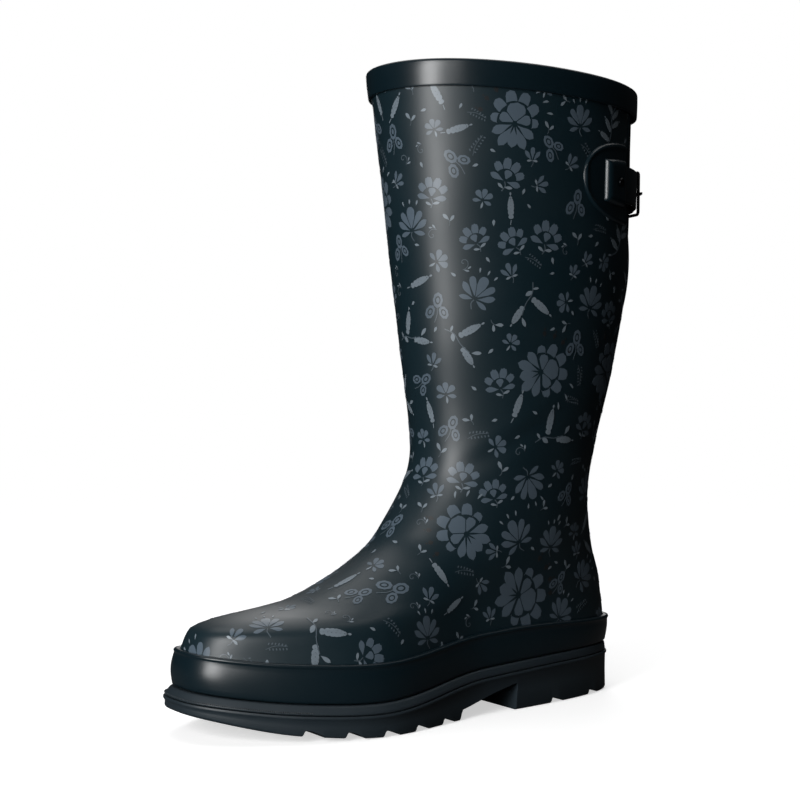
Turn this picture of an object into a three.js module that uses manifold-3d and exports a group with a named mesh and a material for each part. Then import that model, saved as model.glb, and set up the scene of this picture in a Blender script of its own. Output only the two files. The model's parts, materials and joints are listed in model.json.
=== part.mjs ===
// A tall rubber rain boot for the left foot, wide in the calf. The leg opens in a wide V at the back over
// a gusset, and a strap with a buckle crosses the V.
// Millimetres. +X points to the toe, +Y to the outer side of the foot and +Z up. The sole stands on z = 0
// and the middle of the boot's box is over the origin.

import * as THREE from "three";
import { LoftGeometry } from "three/addons/geometries/LoftGeometry.js";
import { mergeVertices } from "three/addons/utils/BufferGeometryUtils.js";
import Module from "manifold-3d";

const { lerp, smoothstep, clamp } = THREE.MathUtils;
const wasm = await Module();
wasm.setup();

// ---- Driving sizes: the foot -------------------------------------------------------------------
// Heights in this section and the next are over the feather line, where the upper meets the sole.
const FOOT_LENGTH = 284; // heel to toe along the feather line
const HEEL_HALF_WIDTH = 34;
const WAIST_HALF_WIDTH = 35;
const BALL_HALF_WIDTH = 50;
const TOE_HALF_WIDTH = 42;
const TOE_SWING = 10; // how far the toe leans towards the inner side
const TOE_BOX_HEIGHT = 36;
const INSTEP_HEIGHT = 74;
const HEEL_LIFT = 30; // the feather line's height over the ground at the heel
const WAIST_LIFT = 27;
const BALL_LIFT = 18.5;
const TOE_LIFT = 27;

// ---- Driving sizes: the leg --------------------------------------------------------------------
const BEND_HEIGHT = 124; // where the instep turns up into the front of the leg
const ANKLE_HEIGHT = 97;
const LEG_HEIGHT = 345;
const ANKLE_DEPTH = 120; // front to back
const ANKLE_HALF_WIDTH = 41;
const TOP_DEPTH = 177;
const TOP_HALF_WIDTH = 63;
const TOP_DIP = 7; // the top edge is this much lower at the back
const HEEL_TO_ANKLE = 13; // the ankle's back stands this far ahead of the heel
const TOP_RAKE_BACK = 31; // the top's back edge stands this far behind the ankle's

// ---- Layers of the wall, from the outside in, and the gaps between them -------------------------
const GAP = 0.4;
const RUBBER = 2.2; // the outer rubber shell
const STIFFENER = 0.9; // heel counter, toe puff, ankle patches and the gusset's laps
const LINING = 1;
const HEEL_COUNTER_REACH = 6; // in facets each way from the stiffener's middle
const TOE_PUFF_REACH = 5;
const ANKLE_PATCH_AT = 7; // in facets from the middle of the back
const ANKLE_PATCH_REACH = 1;
const STIFFENER_OUT = -RUBBER - GAP - 0.2;
const STIFFENER_IN = STIFFENER_OUT - STIFFENER;
const LINING_OUT = STIFFENER_IN - GAP;
const LINING_IN = LINING_OUT - LINING;
const MARGIN = 12; // how far shell and lining turn in under the foot

// ---- Foxing, welt and sole ---------------------------------------------------------------------
const FOXING_WALL = 2.6;
const FOXING_HEEL = 16; // the band's height at the heel and at the toe
const FOXING_TOE = 20;
const FOXING_BEAD = 0.6; // the raised line along its top edge
const WELT_HEIGHT = 5;
const WELT_INSIDE = -4;
const HEEL_LEDGE = 0.4; // how far the sole stands out past the foxing at the heel and at the toe
const TOE_LEDGE = 4.5;
const RIDGE = 0.8; // the line round the top of the sole's side wall
const RIDGE_HEIGHT = 1.5;
const SOLE_CHAMFER = 1.5;
const TOE_SPRING = 15; // the tread's height over the ground at the tip
const HEEL_LENGTH = 92; // from the back of the heel to its breast
const ARCH_HEIGHT = 16; // at the heel's breast
const ARCH_END = 137;
const ARCH_LUG = 6; // the arch's height at its last lug
const LUG_DEPTH = 3.6;
const LUG_PITCH = 22;
const LUG_RAMP = 11; // each lug slopes up to its groove over this length

// ---- Inside the foot ---------------------------------------------------------------------------
const FILLER = 3.2;
const BOARD = 2;
const FOOTBED_FOAM = 4;
const FOOTBED_COVER = 1;
const FOOTBED_PLAY = 0.7; // loose fit round the edge
const SHANK_LENGTH = 100;
const SHANK_WIDTH = 14;
const SHANK_THICKNESS = 1.4;
const HEEL_CORE_LENGTH = 62;
const HEEL_CORE_WIDTH = 40;
const HEEL_CORE_FLOOR = 9; // rubber under the foam core

// ---- Binding and gusset ------------------------------------------------------------------------
const BINDING_HEIGHT = 13;
const BINDING_INSIDE_HEIGHT = 8;
const BINDING_WALL = 1.9;
const GUSSET_HALF_WIDTH = 60; // along the wall, at the top
const GUSSET_DEPTH = 165; // from the top edge to the point of the V
const GUSSET_LAP = 9;
const GUSSET_BULGE = 1.2;
const PIPING_RADIUS = 1;

// ---- Strap and buckle. Places are measured along the wall from the middle of the back, + outwards -----
const STRAP_DROP = 58; // the strap's middle under the top edge
const STRAP_WIDTH = 22;
const STRAP = 1.5;
const STRAP_OFF = 1.8; // underside of the straps over the wall's surface
const HEEL_BAR_AT = 8;
const END_BAR_AT = 29;
const HEEL_BAR_OFF = 2.9;
const END_BAR_OFF = 4.9;
const BAR_RADIUS = 1;
const BAR_CLEARANCE = 0.45;
const EYE_WALL = 1.1;
const TONGUE_WIDTH = 2.6;
const TONGUE = 1.6;
const TAIL_END = -40; // the tip of the strap with the holes
const HOLE_RADIUS = 1.7;
const HOLE_PITCH = 11;
const KEEPER_AT = -13;
const KEEPER_WIDTH = 5;
const KEEPER_WALL = 1.2;
const PATCH_GAP = 2; // from the edge of the V to the patch
const PATCH_LENGTH = 45;
const PATCH_HEIGHT = 49;
const PATCH = 1;
const HOUSING_AT = 6; // from the edge of the patch to the housing
const HOUSING_LENGTH = 21;
const HOUSING_HEIGHT = 25;
const HOUSING_TOP = 4.9;
const HOUSING_WALL = 1.1;
const RIVET_HEAD_RADIUS = 2.6;
const RIVET_SHANK_RADIUS = 1.1;

const AROUND = 36; // facets round the boot

// ---- The boot's form ---------------------------------------------------------------------------

// A smooth curve y(x) through points, with no overshoot between them (monotone cubic).
function through(points) {
  const last = points.length - 1;
  const slope = [];
  for (let i = 0; i < last; i++)
    slope.push((points[i + 1][1] - points[i][1]) / (points[i + 1][0] - points[i][0]));
  const tangent = [slope[0]];
  for (let i = 1; i < last; i++) {
    const [a, b] = [slope[i - 1], slope[i]];
    tangent.push(a * b <= 0 ? 0 : (2 * a * b) / (a + b));
  }
  tangent.push(slope[last - 1]);
  return (x) => {
    let i = 0;
    while (i < last - 1 && x > points[i + 1][0]) i++;
    const [x0, y0] = points[i];
    const [x1, y1] = points[i + 1];
    const w = x1 - x0;
    const t = clamp((x - x0) / w, 0, 1);
    const [t2, t3] = [t * t, t * t * t];
    return (
      y0 * (2 * t3 - 3 * t2 + 1) +
      y1 * (3 * t2 - 2 * t3) +
      w * (tangent[i] * (t3 - 2 * t2 + t) + tangent[i + 1] * (t3 - t2))
    );
  };
}

const ankleBack = HEEL_TO_ANKLE;
const ankleFront = ankleBack + ANKLE_DEPTH;
const topBack = ankleBack - TOP_RAKE_BACK;
const topFront = topBack + TOP_DEPTH;
const vampRun = FOOT_LENGTH - ankleFront; // toe tip back to the front of the ankle
const legRise = LEG_HEIGHT - ANKLE_HEIGHT;
const shinRise = LEG_HEIGHT - BEND_HEIGHT;

// The side view: how far forward the front and the back of the boot reach at a height.
const frontAt = through([
  [0, FOOT_LENGTH - 1],
  [9, FOOT_LENGTH],
  [0.62 * TOE_BOX_HEIGHT, FOOT_LENGTH - 2.5],
  [0.86 * TOE_BOX_HEIGHT, FOOT_LENGTH - 6],
  [TOE_BOX_HEIGHT, FOOT_LENGTH - 18],
  [0.77 * TOE_BOX_HEIGHT + 0.23 * INSTEP_HEIGHT, FOOT_LENGTH - 0.43 * vampRun],
  [INSTEP_HEIGHT, FOOT_LENGTH - 0.82 * vampRun],
  [BEND_HEIGHT, ankleFront],
  [BEND_HEIGHT + 0.3 * shinRise, ankleFront + 0.3 * (topFront - ankleFront)],
  [LEG_HEIGHT, topFront],
]);
const backAt = through([
  [0, 1],
  [16, -2],
  [34, 0],
  [0.62 * ANKLE_HEIGHT, 0.55 * ankleBack],
  [ANKLE_HEIGHT, ankleBack],
  [ANKLE_HEIGHT + 0.3 * legRise, ankleBack - 0.55 * TOP_RAKE_BACK],
  [ANKLE_HEIGHT + 0.62 * legRise, ankleBack - 0.97 * TOP_RAKE_BACK],
  [LEG_HEIGHT, topBack],
]);
const legHalfWidthAt = through([
  [0, HEEL_HALF_WIDTH],
  [ANKLE_HEIGHT, ANKLE_HALF_WIDTH],
  [ANKLE_HEIGHT + 0.5 * legRise, 0.42 * ANKLE_HALF_WIDTH + 0.58 * TOP_HALF_WIDTH],
  [LEG_HEIGHT, TOP_HALF_WIDTH],
]);
const footHalfWidthAt = through([
  [0, HEEL_HALF_WIDTH],
  [0.14 * FOOT_LENGTH, HEEL_HALF_WIDTH],
  [0.4 * FOOT_LENGTH, WAIST_HALF_WIDTH],
  [0.69 * FOOT_LENGTH, BALL_HALF_WIDTH],
  [0.92 * FOOT_LENGTH, TOE_HALF_WIDTH],
  [FOOT_LENGTH, 0.9 * TOE_HALF_WIDTH],
]);
const centreAt = through([
  [0, 0],
  [0.4 * FOOT_LENGTH, 1.5],
  [0.69 * FOOT_LENGTH, 0],
  [FOOT_LENGTH, -TOE_SWING],
]);
const liftAt = through([
  [0, HEEL_LIFT],
  [0.18 * FOOT_LENGTH, HEEL_LIFT - 0.5],
  [0.4 * FOOT_LENGTH, WAIST_LIFT],
  [0.69 * FOOT_LENGTH, BALL_LIFT],
  [0.84 * FOOT_LENGTH, lerp(BALL_LIFT, TOE_LIFT, 0.25)],
  [FOOT_LENGTH + GAP + FOXING_WALL + TOE_LEDGE, TOE_LIFT],
]);
// How square the outline is at a height: 2 is an ellipse, and more is blunter.
const bluntnessAt = through([
  [0, 3],
  [15, 2.9],
  [TOE_BOX_HEIGHT, 2.65],
  [INSTEP_HEIGHT, 2.15],
  [LEG_HEIGHT, 2.08],
]);
const treadAt = through([
  [0, 0],
  [0.66 * FOOT_LENGTH, 0],
  [0.84 * FOOT_LENGTH, 0.25 * TOE_SPRING],
  [FOOT_LENGTH + GAP + FOXING_WALL + TOE_LEDGE, TOE_SPRING],
]);
const ledgeAt = through([
  [0, HEEL_LEDGE],
  [0.3 * FOOT_LENGTH, lerp(HEEL_LEDGE, TOE_LEDGE, 0.2)],
  [0.7 * FOOT_LENGTH, lerp(HEEL_LEDGE, TOE_LEDGE, 0.7)],
  [FOOT_LENGTH, TOE_LEDGE],
]);

const SIDE_SAMPLES = 120;
const outlines = new Map();

// The outline at a height, outer side and inner side, each with its running length from back to front.
function outlineAt(h) {
  const key = h.toFixed(3);
  if (outlines.has(key)) return outlines.get(key);
  const [back, front] = [backAt(h), frontAt(h)];
  const toLeg = smoothstep(h, 12, 0.85 * ANKLE_HEIGHT);
  const power = bluntnessAt(h);
  const sides = [1, -1].map((side) => {
    const points = [];
    for (let i = 0; i <= SIDE_SAMPLES; i++) {
      const c = Math.cos((Math.PI * i) / SIDE_SAMPLES);
      const x = back + ((front - back) * (1 - c)) / 2;
      const half = lerp(footHalfWidthAt(x), legHalfWidthAt(h), toLeg);
      const centre = centreAt(x) * (1 - toLeg);
      points.push([x, centre + side * half * Math.pow(1 - Math.pow(Math.abs(c), power), 1 / power)]);
    }
    const run = [0];
    for (let i = 1; i < points.length; i++)
      run.push(run[i - 1] + Math.hypot(points[i][0] - points[i - 1][0], points[i][1] - points[i - 1][1]));
    return { points, run, length: run.at(-1) };
  });
  outlines.set(key, sides);
  return sides;
}

// A point of the boot's outer surface. u runs round the boot: 0 at the back, 0.5 at the front, by way of
// the outer side. h is the height over the feather line.
function surface(u, h) {
  const turn = u - Math.floor(u);
  const [outer, inner] = outlineAt(h);
  const side = turn <= 0.5 ? outer : inner;
  const target = (turn <= 0.5 ? 2 * turn : 2 - 2 * turn) * side.length;
  let [low, high] = [0, side.run.length - 1];
  while (high - low > 1) {
    const mid = (low + high) >> 1;
    if (side.run[mid] <= target) low = mid;
    else high = mid;
  }
  const t = (target - side.run[low]) / (side.run[high] - side.run[low]);
  const x = lerp(side.points[low][0], side.points[high][0], t);
  const y = lerp(side.points[low][1], side.points[high][1], t);
  const toBack = (frontAt(h) - x) / (frontAt(h) - backAt(h));
  const dip = TOP_DIP * smoothstep(h, ANKLE_HEIGHT, LEG_HEIGHT) * toBack;
  return new THREE.Vector3(x, y, h - dip + lerp(liftAt(x), HEEL_LIFT, smoothstep(h, 0, ANKLE_HEIGHT)));
}

// The direction straight out of the surface.
function outward(u, h) {
  const [du, dh] = [0.004, 1];
  const level = clamp(h, dh, LEG_HEIGHT - dh);
  const around = surface(u + du, level).sub(surface(u - du, level));
  const up = surface(u, level + dh).sub(surface(u, level - dh));
  return up.cross(around).normalize();
}

// The surface moved outwards by off.
function skin(u, h, off = 0) {
  return surface(u, h).addScaledVector(outward(u, h), off);
}

// A point under or over the feather line, which follows the sole's curve: height is over that line.
function bottomPoint(u, off, height) {
  const p = skin(u, 0, off);
  p.z = liftAt(p.x) + height;
  return p;
}

// u at a distance along the wall from the middle of the back, + on the outer side.
function arcU(along, h) {
  const [outer, inner] = outlineAt(h);
  return along / (2 * (along >= 0 ? outer.length : inner.length));
}

// ---- Ways to make a solid ----------------------------------------------------------------------

// The heights of the wall's rows of facets: close together where the side view bends.
const LEVELS = [
  ...[0, 0.4, 0.75, 1, 1.3].map((share) => share * FOXING_TOE),
  ...[0.83, 1].map((share) => share * TOE_BOX_HEIGHT),
  ...[0.2, 0.5, 0.8].map((share) => lerp(TOE_BOX_HEIGHT, INSTEP_HEIGHT, share)),
  ...[0.2, 0.6, 1].map((share) => lerp(INSTEP_HEIGHT, BEND_HEIGHT, share)),
  ...[0.1, 0.19, 0.28, 0.37, 0.47, 0.6, 0.73, 0.87].map((share) => lerp(BEND_HEIGHT, LEG_HEIGHT, share)),
  LEG_HEIGHT,
];

// Rows of one face of the wall from low to high, at an offset from its surface.
function wall(low, high, off) {
  const inside = LEVELS.filter((h) => h > low + 0.5 && h < high - 0.5);
  return [low, ...inside, high].map((h) => [h, off]);
}

// A bare, welded geometry without the triangles that have shrunk to a line.
function welded(geometry) {
  const bare = new THREE.BufferGeometry().setAttribute("position", geometry.getAttribute("position"));
  if (geometry.getIndex()) bare.setIndex(geometry.getIndex());
  const merged = mergeVertices(bare, 1e-4);
  const index = merged.getIndex().array;
  const kept = [];
  for (let i = 0; i < index.length; i += 3) {
    const [a, b, c] = index.slice(i, i + 3);
    if (a !== b && b !== c && c !== a) kept.push(a, b, c);
  }
  return merged.setIndex(kept);
}

// A ring round the boot. section(u) gives its closed outline at u as a list of points.
function ring(section) {
  const sections = [];
  for (let i = 0; i <= AROUND; i++) sections.push(section((i % AROUND) / AROUND));
  return welded(new LoftGeometry(sections));
}

// A ring whose outline is a list of [height, offset] on the wall.
function wallRing(outline) {
  return ring((u) => outline(u).map(([h, off]) => skin(u, h, off)));
}

// A closed solid from vertices and triangles, with its faces turned outwards.
function solidOf(vertices, triangles) {
  const volume = triangles.reduce((sum, [a, b, c]) => {
    const [p, q, r] = [vertices[a], vertices[b], vertices[c]];
    return sum + p.dot(q.clone().cross(r));
  }, 0);
  const outwards = volume > 0 ? triangles : triangles.map(([a, b, c]) => [a, c, b]);
  const geometry = new THREE.BufferGeometry().setFromPoints(vertices);
  return welded(geometry.setIndex(outwards.flat()));
}

// A plate under the foot. Each of its rims goes once round the boot, from the lowest to the highest, and
// rungs across the boot close the first and the last one. A rim is a function of u.
function plate(rims, around = AROUND) {
  const vertices = rims.flatMap((rim) => Array.from({ length: around }, (_, i) => rim(i / around)));
  const triangles = [];
  for (let r = 0; r + 1 < rims.length; r++)
    for (let i = 0; i < around; i++) {
      const [a, b] = [r * around + i, r * around + ((i + 1) % around)];
      triangles.push([a, a + around, b], [b, a + around, b + around]);
    }
  const top = (rims.length - 1) * around;
  for (let i = 0; i < around / 2; i++) {
    const [a, b] = [i, i + 1];
    const [c, d] = [(around - i) % around, around - i - 1];
    triangles.push([a, b, c], [c, b, d]);
    triangles.push([top + a, top + c, top + b], [top + c, top + d, top + b]);
  }
  return solidOf(vertices, triangles);
}

// A sheet with thickness on a grid. point(s, t, side) gives a place, with side 0 on the inner face and 1 on
// the outer one; s and t run over the lists that are given. Each face splits its squares the way that the
// wall facing it does.
function sheet(acrossList, upList, point) {
  const [n, m] = [acrossList.length, upList.length];
  const vertices = [];
  for (const side of [0, 1])
    for (const s of acrossList) for (const t of upList) vertices.push(point(s, t, side));
  const at = (i, j, side) => side * n * m + i * m + j;
  const triangles = [];
  const quad = (a, b, c, d) => triangles.push([a, b, c], [a, c, d]);
  for (let i = 0; i + 1 < n; i++)
    for (let j = 0; j + 1 < m; j++) {
      quad(at(i + 1, j, 0), at(i + 1, j + 1, 0), at(i, j + 1, 0), at(i, j, 0));
      quad(at(i, j, 1), at(i, j + 1, 1), at(i + 1, j + 1, 1), at(i + 1, j, 1));
    }
  for (let i = 0; i + 1 < n; i++) {
    quad(at(i, 0, 0), at(i, 0, 1), at(i + 1, 0, 1), at(i + 1, 0, 0));
    quad(at(i, m - 1, 0), at(i + 1, m - 1, 0), at(i + 1, m - 1, 1), at(i, m - 1, 1));
  }
  for (let j = 0; j + 1 < m; j++) {
    quad(at(0, j, 0), at(0, j + 1, 0), at(0, j + 1, 1), at(0, j, 1));
    quad(at(n - 1, j, 0), at(n - 1, j, 1), at(n - 1, j + 1, 1), at(n - 1, j + 1, 0));
  }
  return solidOf(vertices, triangles);
}

// count + 1 even steps from low to high.
function steps(low, high, count) {
  return Array.from({ length: count + 1 }, (_, i) => lerp(low, high, i / count));
}

function manifoldOf(geometry) {
  const g = welded(geometry);
  const vertProperties = new Float32Array(g.getAttribute("position").array);
  const triVerts = new Uint32Array(g.getIndex().array);
  return new wasm.Manifold(new wasm.Mesh({ numProp: 3, vertProperties, triVerts }));
}

function geometryOf(manifold) {
  const mesh = manifold.getMesh();
  const geometry = new THREE.BufferGeometry();
  geometry.setAttribute("position", new THREE.BufferAttribute(mesh.vertProperties, 3));
  return geometry.setIndex(new THREE.BufferAttribute(mesh.triVerts, 1));
}

// The geometry with each of the cutters taken away.
function cut(geometry, ...cutters) {
  const whole = manifoldOf(geometry);
  return geometryOf(cutters.reduce((solid, cutter) => solid.subtract(manifoldOf(cutter)), whole));
}

function join(...geometries) {
  return geometryOf(geometries.map(manifoldOf).reduce((solid, other) => solid.add(other)));
}

// ---- Materials and the list of pieces ----------------------------------------------------------

function finish(color, roughness, metalness = 0) {
  return new THREE.MeshStandardMaterial({ color, roughness, metalness });
}
const printedRubber = finish(0x15252c, 0.42);
const glossRubber = finish(0x0f1c23, 0.28);
const soleRubber = finish(0x17262e, 0.5);
const knit = finish(0x1b1f22, 0.95);
const board = finish(0x8a7a5e, 0.9);
const foam = finish(0x34383a, 0.95);
const steel = finish(0x9a9c9e, 0.35, 1);
const blackenedMetal = finish(0x1d2023, 0.35, 1);

const group = new THREE.Group();
group.name = "rain_boot";

function add(name, geometry, material) {
  const mesh = new THREE.Mesh(geometry, material);
  mesh.name = name;
  group.add(mesh);
  return mesh;
}

// ---- Gusset: the V at the back -----------------------------------------------------------------

const gussetBottom = LEG_HEIGHT - GUSSET_DEPTH;
// Half the width of the V along the wall at a height.
const openingAt = through([
  [gussetBottom, 0],
  [gussetBottom + 0.04 * GUSSET_DEPTH, 0.18 * GUSSET_HALF_WIDTH],
  [gussetBottom + 0.2 * GUSSET_DEPTH, 0.45 * GUSSET_HALF_WIDTH],
  [gussetBottom + 0.36 * GUSSET_DEPTH, 0.7 * GUSSET_HALF_WIDTH],
  [gussetBottom + 0.52 * GUSSET_DEPTH, 0.9 * GUSSET_HALF_WIDTH],
  [gussetBottom + 0.7 * GUSSET_DEPTH, 0.98 * GUSSET_HALF_WIDTH],
  [LEG_HEIGHT, GUSSET_HALF_WIDTH],
]);
// Rows of the gusset: close together at the point of the V, and then the wall's own.
const gussetLevels = [
  ...[0, 0.015, 0.04, 0.08, 0.13, 0.19].map((share) => gussetBottom + share * GUSSET_DEPTH),
  ...LEVELS.filter((h) => h > gussetBottom + 0.21 * GUSSET_DEPTH),
];

function gussetCutter() {
  const above = 6;
  const rows = [...gussetLevels, LEG_HEIGHT + above];
  return sheet(steps(-1, 1, 10), rows, (s, h, side) =>
    skin(arcU(s * openingAt(h), h), h, side ? 2 : -RUBBER - 1)
  );
}

function backGusset() {
  const lowest = LEVELS.findLast((h) => h < gussetBottom - 6);
  const rows = [lowest, ...gussetLevels.slice(0, -1), LEG_HEIGHT - 0.3];
  return sheet(steps(-1, 1, 24), rows, (s, h, side) => {
    const half = openingAt(h);
    const along = s * (half + GUSSET_LAP);
    const inside = clamp((half - 3 - Math.abs(along)) / 20, 0, 1);
    const bulge = GUSSET_BULGE * smoothstep(inside, 0, 1);
    return skin(arcU(along, h), h, (side ? STIFFENER_OUT : STIFFENER_IN) + bulge);
  });
}

function gussetPiping() {
  const inset = PIPING_RADIUS + 0.9;
  const depth = -0.5;
  const high = LEG_HEIGHT - BINDING_HEIGHT - 2;
  const turn = gussetLevels.find((h) => openingAt(h) > 2.2 * inset);
  const rows = gussetLevels.filter((h) => h > turn && h < high - 5);
  const side = (sign, h) => skin(arcU(sign * (openingAt(h) - inset), h), h, depth);
  const points = [side(1, high), ...[...rows].reverse().map((h) => side(1, h))];
  points.push(skin(0, turn, depth), ...rows.map((h) => side(-1, h)), side(-1, high));
  const path = new THREE.CatmullRomCurve3(points, false, "centripetal");
  const section = new THREE.Shape().absarc(0, 0, PIPING_RADIUS, 0, 2 * Math.PI);
  const options = { extrudePath: path, steps: 44, curveSegments: 4, bevelEnabled: false };
  return new THREE.ExtrudeGeometry(section, options);
}

// ---- Straps: places on the wall ----------------------------------------------------------------

const strapHeight = LEG_HEIGHT - STRAP_DROP;

// The strap's own frame at a distance along the wall: its middle, out of the wall, and across the strap.
function strapFrame(along) {
  const u = arcU(along, strapHeight);
  const up = surface(u, strapHeight + 1).sub(surface(u, strapHeight - 1)).normalize();
  return { middle: surface(u, strapHeight), out: outward(u, strapHeight), up };
}
function strapPoint(along, across, off) {
  const { middle, out, up } = strapFrame(along);
  return middle.clone().addScaledVector(out, off).addScaledVector(up, across);
}
// A point on the true wall near the strap.
function wallPoint(along, across, off) {
  const h = strapHeight + across;
  return skin(arcU(along, h), h, off);
}
// A flat geometry with x along the wall, y across the strap and z out of the wall, bent onto the wall.
// Those directions are left-handed, so the triangles are turned round.
function wrapped(geometry) {
  const result = welded(geometry);
  result.getIndex().array.reverse();
  const position = result.getAttribute("position");
  for (let i = 0; i < position.count; i++) {
    const p = strapPoint(position.getX(i), position.getY(i), position.getZ(i));
    position.setXYZ(i, p.x, p.y, p.z);
  }
  return result;
}
function box(x0, x1, y0, y1, z0, z1) {
  const geometry = new THREE.BoxGeometry(x1 - x0, y1 - y0, z1 - z0);
  return geometry.translate((x0 + x1) / 2, (y0 + y1) / 2, (z0 + z1) / 2);
}
// A round pin straight out of the wall.
function pin(along, across, radius, low, high, sides = 16) {
  const geometry = new THREE.CylinderGeometry(radius, radius, high - low, sides);
  geometry.rotateX(Math.PI / 2).translate(0, 0, (low + high) / 2);
  const { middle, out, up } = strapFrame(along);
  const basis = new THREE.Matrix4().makeBasis(up.clone().cross(out).normalize(), up, out);
  return geometry.applyMatrix4(basis.setPosition(middle.addScaledVector(up, across)));
}

const patchStart = openingAt(strapHeight) + PATCH_GAP;
const housingStart = patchStart + HOUSING_AT;
const housingEnd = housingStart + HOUSING_LENGTH;
const strapRoot = housingEnd - 4;
const rivetAt = housingStart + 0.42 * HOUSING_LENGTH;
const patchTop = GAP + PATCH;

// The D of rubber at each end of the strap. Its straight side follows the V.
function strapPatch(sign) {
  const rim = 0.7;
  const rimFrom = 0.86; // share of the way from the middle to the edge
  return sheet(steps(0, Math.PI / 2, 7), steps(-1, 1, 6), (angle, t, side) => {
    const share = Math.sin(angle);
    const across = (t * PATCH_HEIGHT * Math.sqrt(1 - share * share)) / 2;
    const along = openingAt(strapHeight + across) + PATCH_GAP + PATCH_LENGTH * share;
    const raised = Math.abs(t) > rimFrom || share > rimFrom;
    return wallPoint(sign * along, across, side ? patchTop + (raised ? rim : 0) : GAP);
  });
}

// The moulded tunnel on a patch that holds the strap's end.
function strapHousing(sign) {
  const edge = 1.4;
  const half = HOUSING_HEIGHT / 2;
  const columns = [0, edge, ...steps(edge, HOUSING_LENGTH - edge, 3).slice(1), HOUSING_LENGTH];
  const rows = [-half, edge - half, 0, half - edge, half];
  const low = patchTop + GAP;
  const body = sheet(columns, rows, (s, t, side) => {
    const atEdge = s === 0 || s === HOUSING_LENGTH || Math.abs(t) === half;
    const top = atEdge ? lerp(low, HOUSING_TOP, 0.6) : HOUSING_TOP;
    return strapPoint(sign * (housingStart + s), t, side ? top : low);
  });
  const room = STRAP_WIDTH / 2 + 0.5;
  const ceiling = HOUSING_TOP - HOUSING_WALL;
  const tunnel = sheet(steps(-2, HOUSING_LENGTH - 3, 5), [-room, room], (s, t, side) =>
    strapPoint(sign * (housingStart + s), t, side ? ceiling : low - 1)
  );
  return cut(body, tunnel, pin(sign * rivetAt, 0, RIVET_SHANK_RADIUS + GAP, 0, HOUSING_TOP + 2));
}

// ---- The buckle's own frame --------------------------------------------------------------------

// x from the heel bar to the end bar, y down along the bars and z out of the boot, with the heel bar on
// the y axis.
const heelBar = strapPoint(HEEL_BAR_AT, 0, HEEL_BAR_OFF);
const endBar = strapPoint(END_BAR_AT, 0, END_BAR_OFF);
const frameLength = heelBar.distanceTo(endBar);
const barDown = strapFrame(HEEL_BAR_AT).up.negate();
const frameOut = endBar.clone().sub(heelBar).cross(barDown).normalize();
const frameAlong = barDown.clone().cross(frameOut).normalize();
const buckleBasis = new THREE.Matrix4().makeBasis(frameAlong, barDown, frameOut).setPosition(heelBar);

// A cylinder round the heel bar.
function barCylinder(radius, length) {
  return new THREE.CylinderGeometry(radius, radius, length, 20).applyMatrix4(buckleBasis);
}

// ---- Straps ------------------------------------------------------------------------------------

const eyeInner = BAR_RADIUS + BAR_CLEARANCE;
const eyeOuter = eyeInner + EYE_WALL;
const overEye = HEEL_BAR_OFF + eyeOuter + GAP;
const overStrap = STRAP_OFF + STRAP + 0.5;

// Underside of the strap with the holes: low at its root, over the heel bar, and down along the other strap.
const holeStrapAt = through([
  [TAIL_END, overStrap],
  [HEEL_BAR_AT - 14, overStrap],
  [HEEL_BAR_AT, overEye],
  [HEEL_BAR_AT + 0.3 * (END_BAR_AT - HEEL_BAR_AT), lerp(STRAP_OFF, overEye, 0.66)],
  [END_BAR_AT - 3.5, STRAP_OFF + 0.1],
  [END_BAR_AT + 2, STRAP_OFF],
  [strapRoot, STRAP_OFF],
]);

function holeStrap() {
  const half = STRAP_WIDTH / 2;
  const tip = 7;
  const stations = [
    ...steps(TAIL_END, TAIL_END + tip, 3),
    ...steps(TAIL_END + tip + 4.5, HEEL_BAR_AT - 11, 4),
    ...steps(HEEL_BAR_AT - 7, END_BAR_AT + 1, 9),
    ...steps(END_BAR_AT + 5, strapRoot, 4),
  ];
  const body = sheet(stations, steps(-1, 1, 2), (along, t, side) => {
    const fromTip = clamp((along - TAIL_END) / tip, 0, 1);
    const width = half * lerp(0.45, 1, Math.sqrt(1 - (1 - fromTip) ** 2));
    return strapPoint(along, t * width, holeStrapAt(along) + (side ? STRAP : 0));
  });
  const cutters = [pin(rivetAt, 0, RIVET_SHANK_RADIUS + GAP, 0, HOUSING_TOP + 2)];
  for (const place of [-1, -2, -3].map((n) => HEEL_BAR_AT - 4 + n * HOLE_PITCH))
    cutters.push(pin(place, 0, HOLE_RADIUS, overStrap - 1, overStrap + STRAP + 1, 10));
  const slot = TONGUE_WIDTH / 2 + 0.7;
  cutters.push(wrapped(box(HEEL_BAR_AT + 0.8, END_BAR_AT - 4.5, -slot, slot, 0, 12)));
  return cut(body, ...cutters);
}

// The other strap ends in an eye round the heel bar, with a slot in the middle for the tongue.
function buckleStrap() {
  const half = STRAP_WIDTH / 2;
  const strip = sheet(steps(-strapRoot, HEEL_BAR_AT - eyeInner, 18), [-half, half], (along, t, side) =>
    strapPoint(along, t, STRAP_OFF + (side ? STRAP : 0))
  );
  const slot = TONGUE_WIDTH / 2 + 0.6;
  const tongueRoom = box(-eyeOuter - 1.5, eyeOuter + 1, -slot, slot, -eyeOuter - 1, eyeOuter + 1);
  return cut(
    join(strip, barCylinder(eyeOuter, STRAP_WIDTH)),
    barCylinder(eyeInner, STRAP_WIDTH + 2),
    tongueRoom.applyMatrix4(buckleBasis),
    pin(-rivetAt, 0, RIVET_SHANK_RADIUS + GAP, 0, HOUSING_TOP + 2)
  );
}

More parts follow.
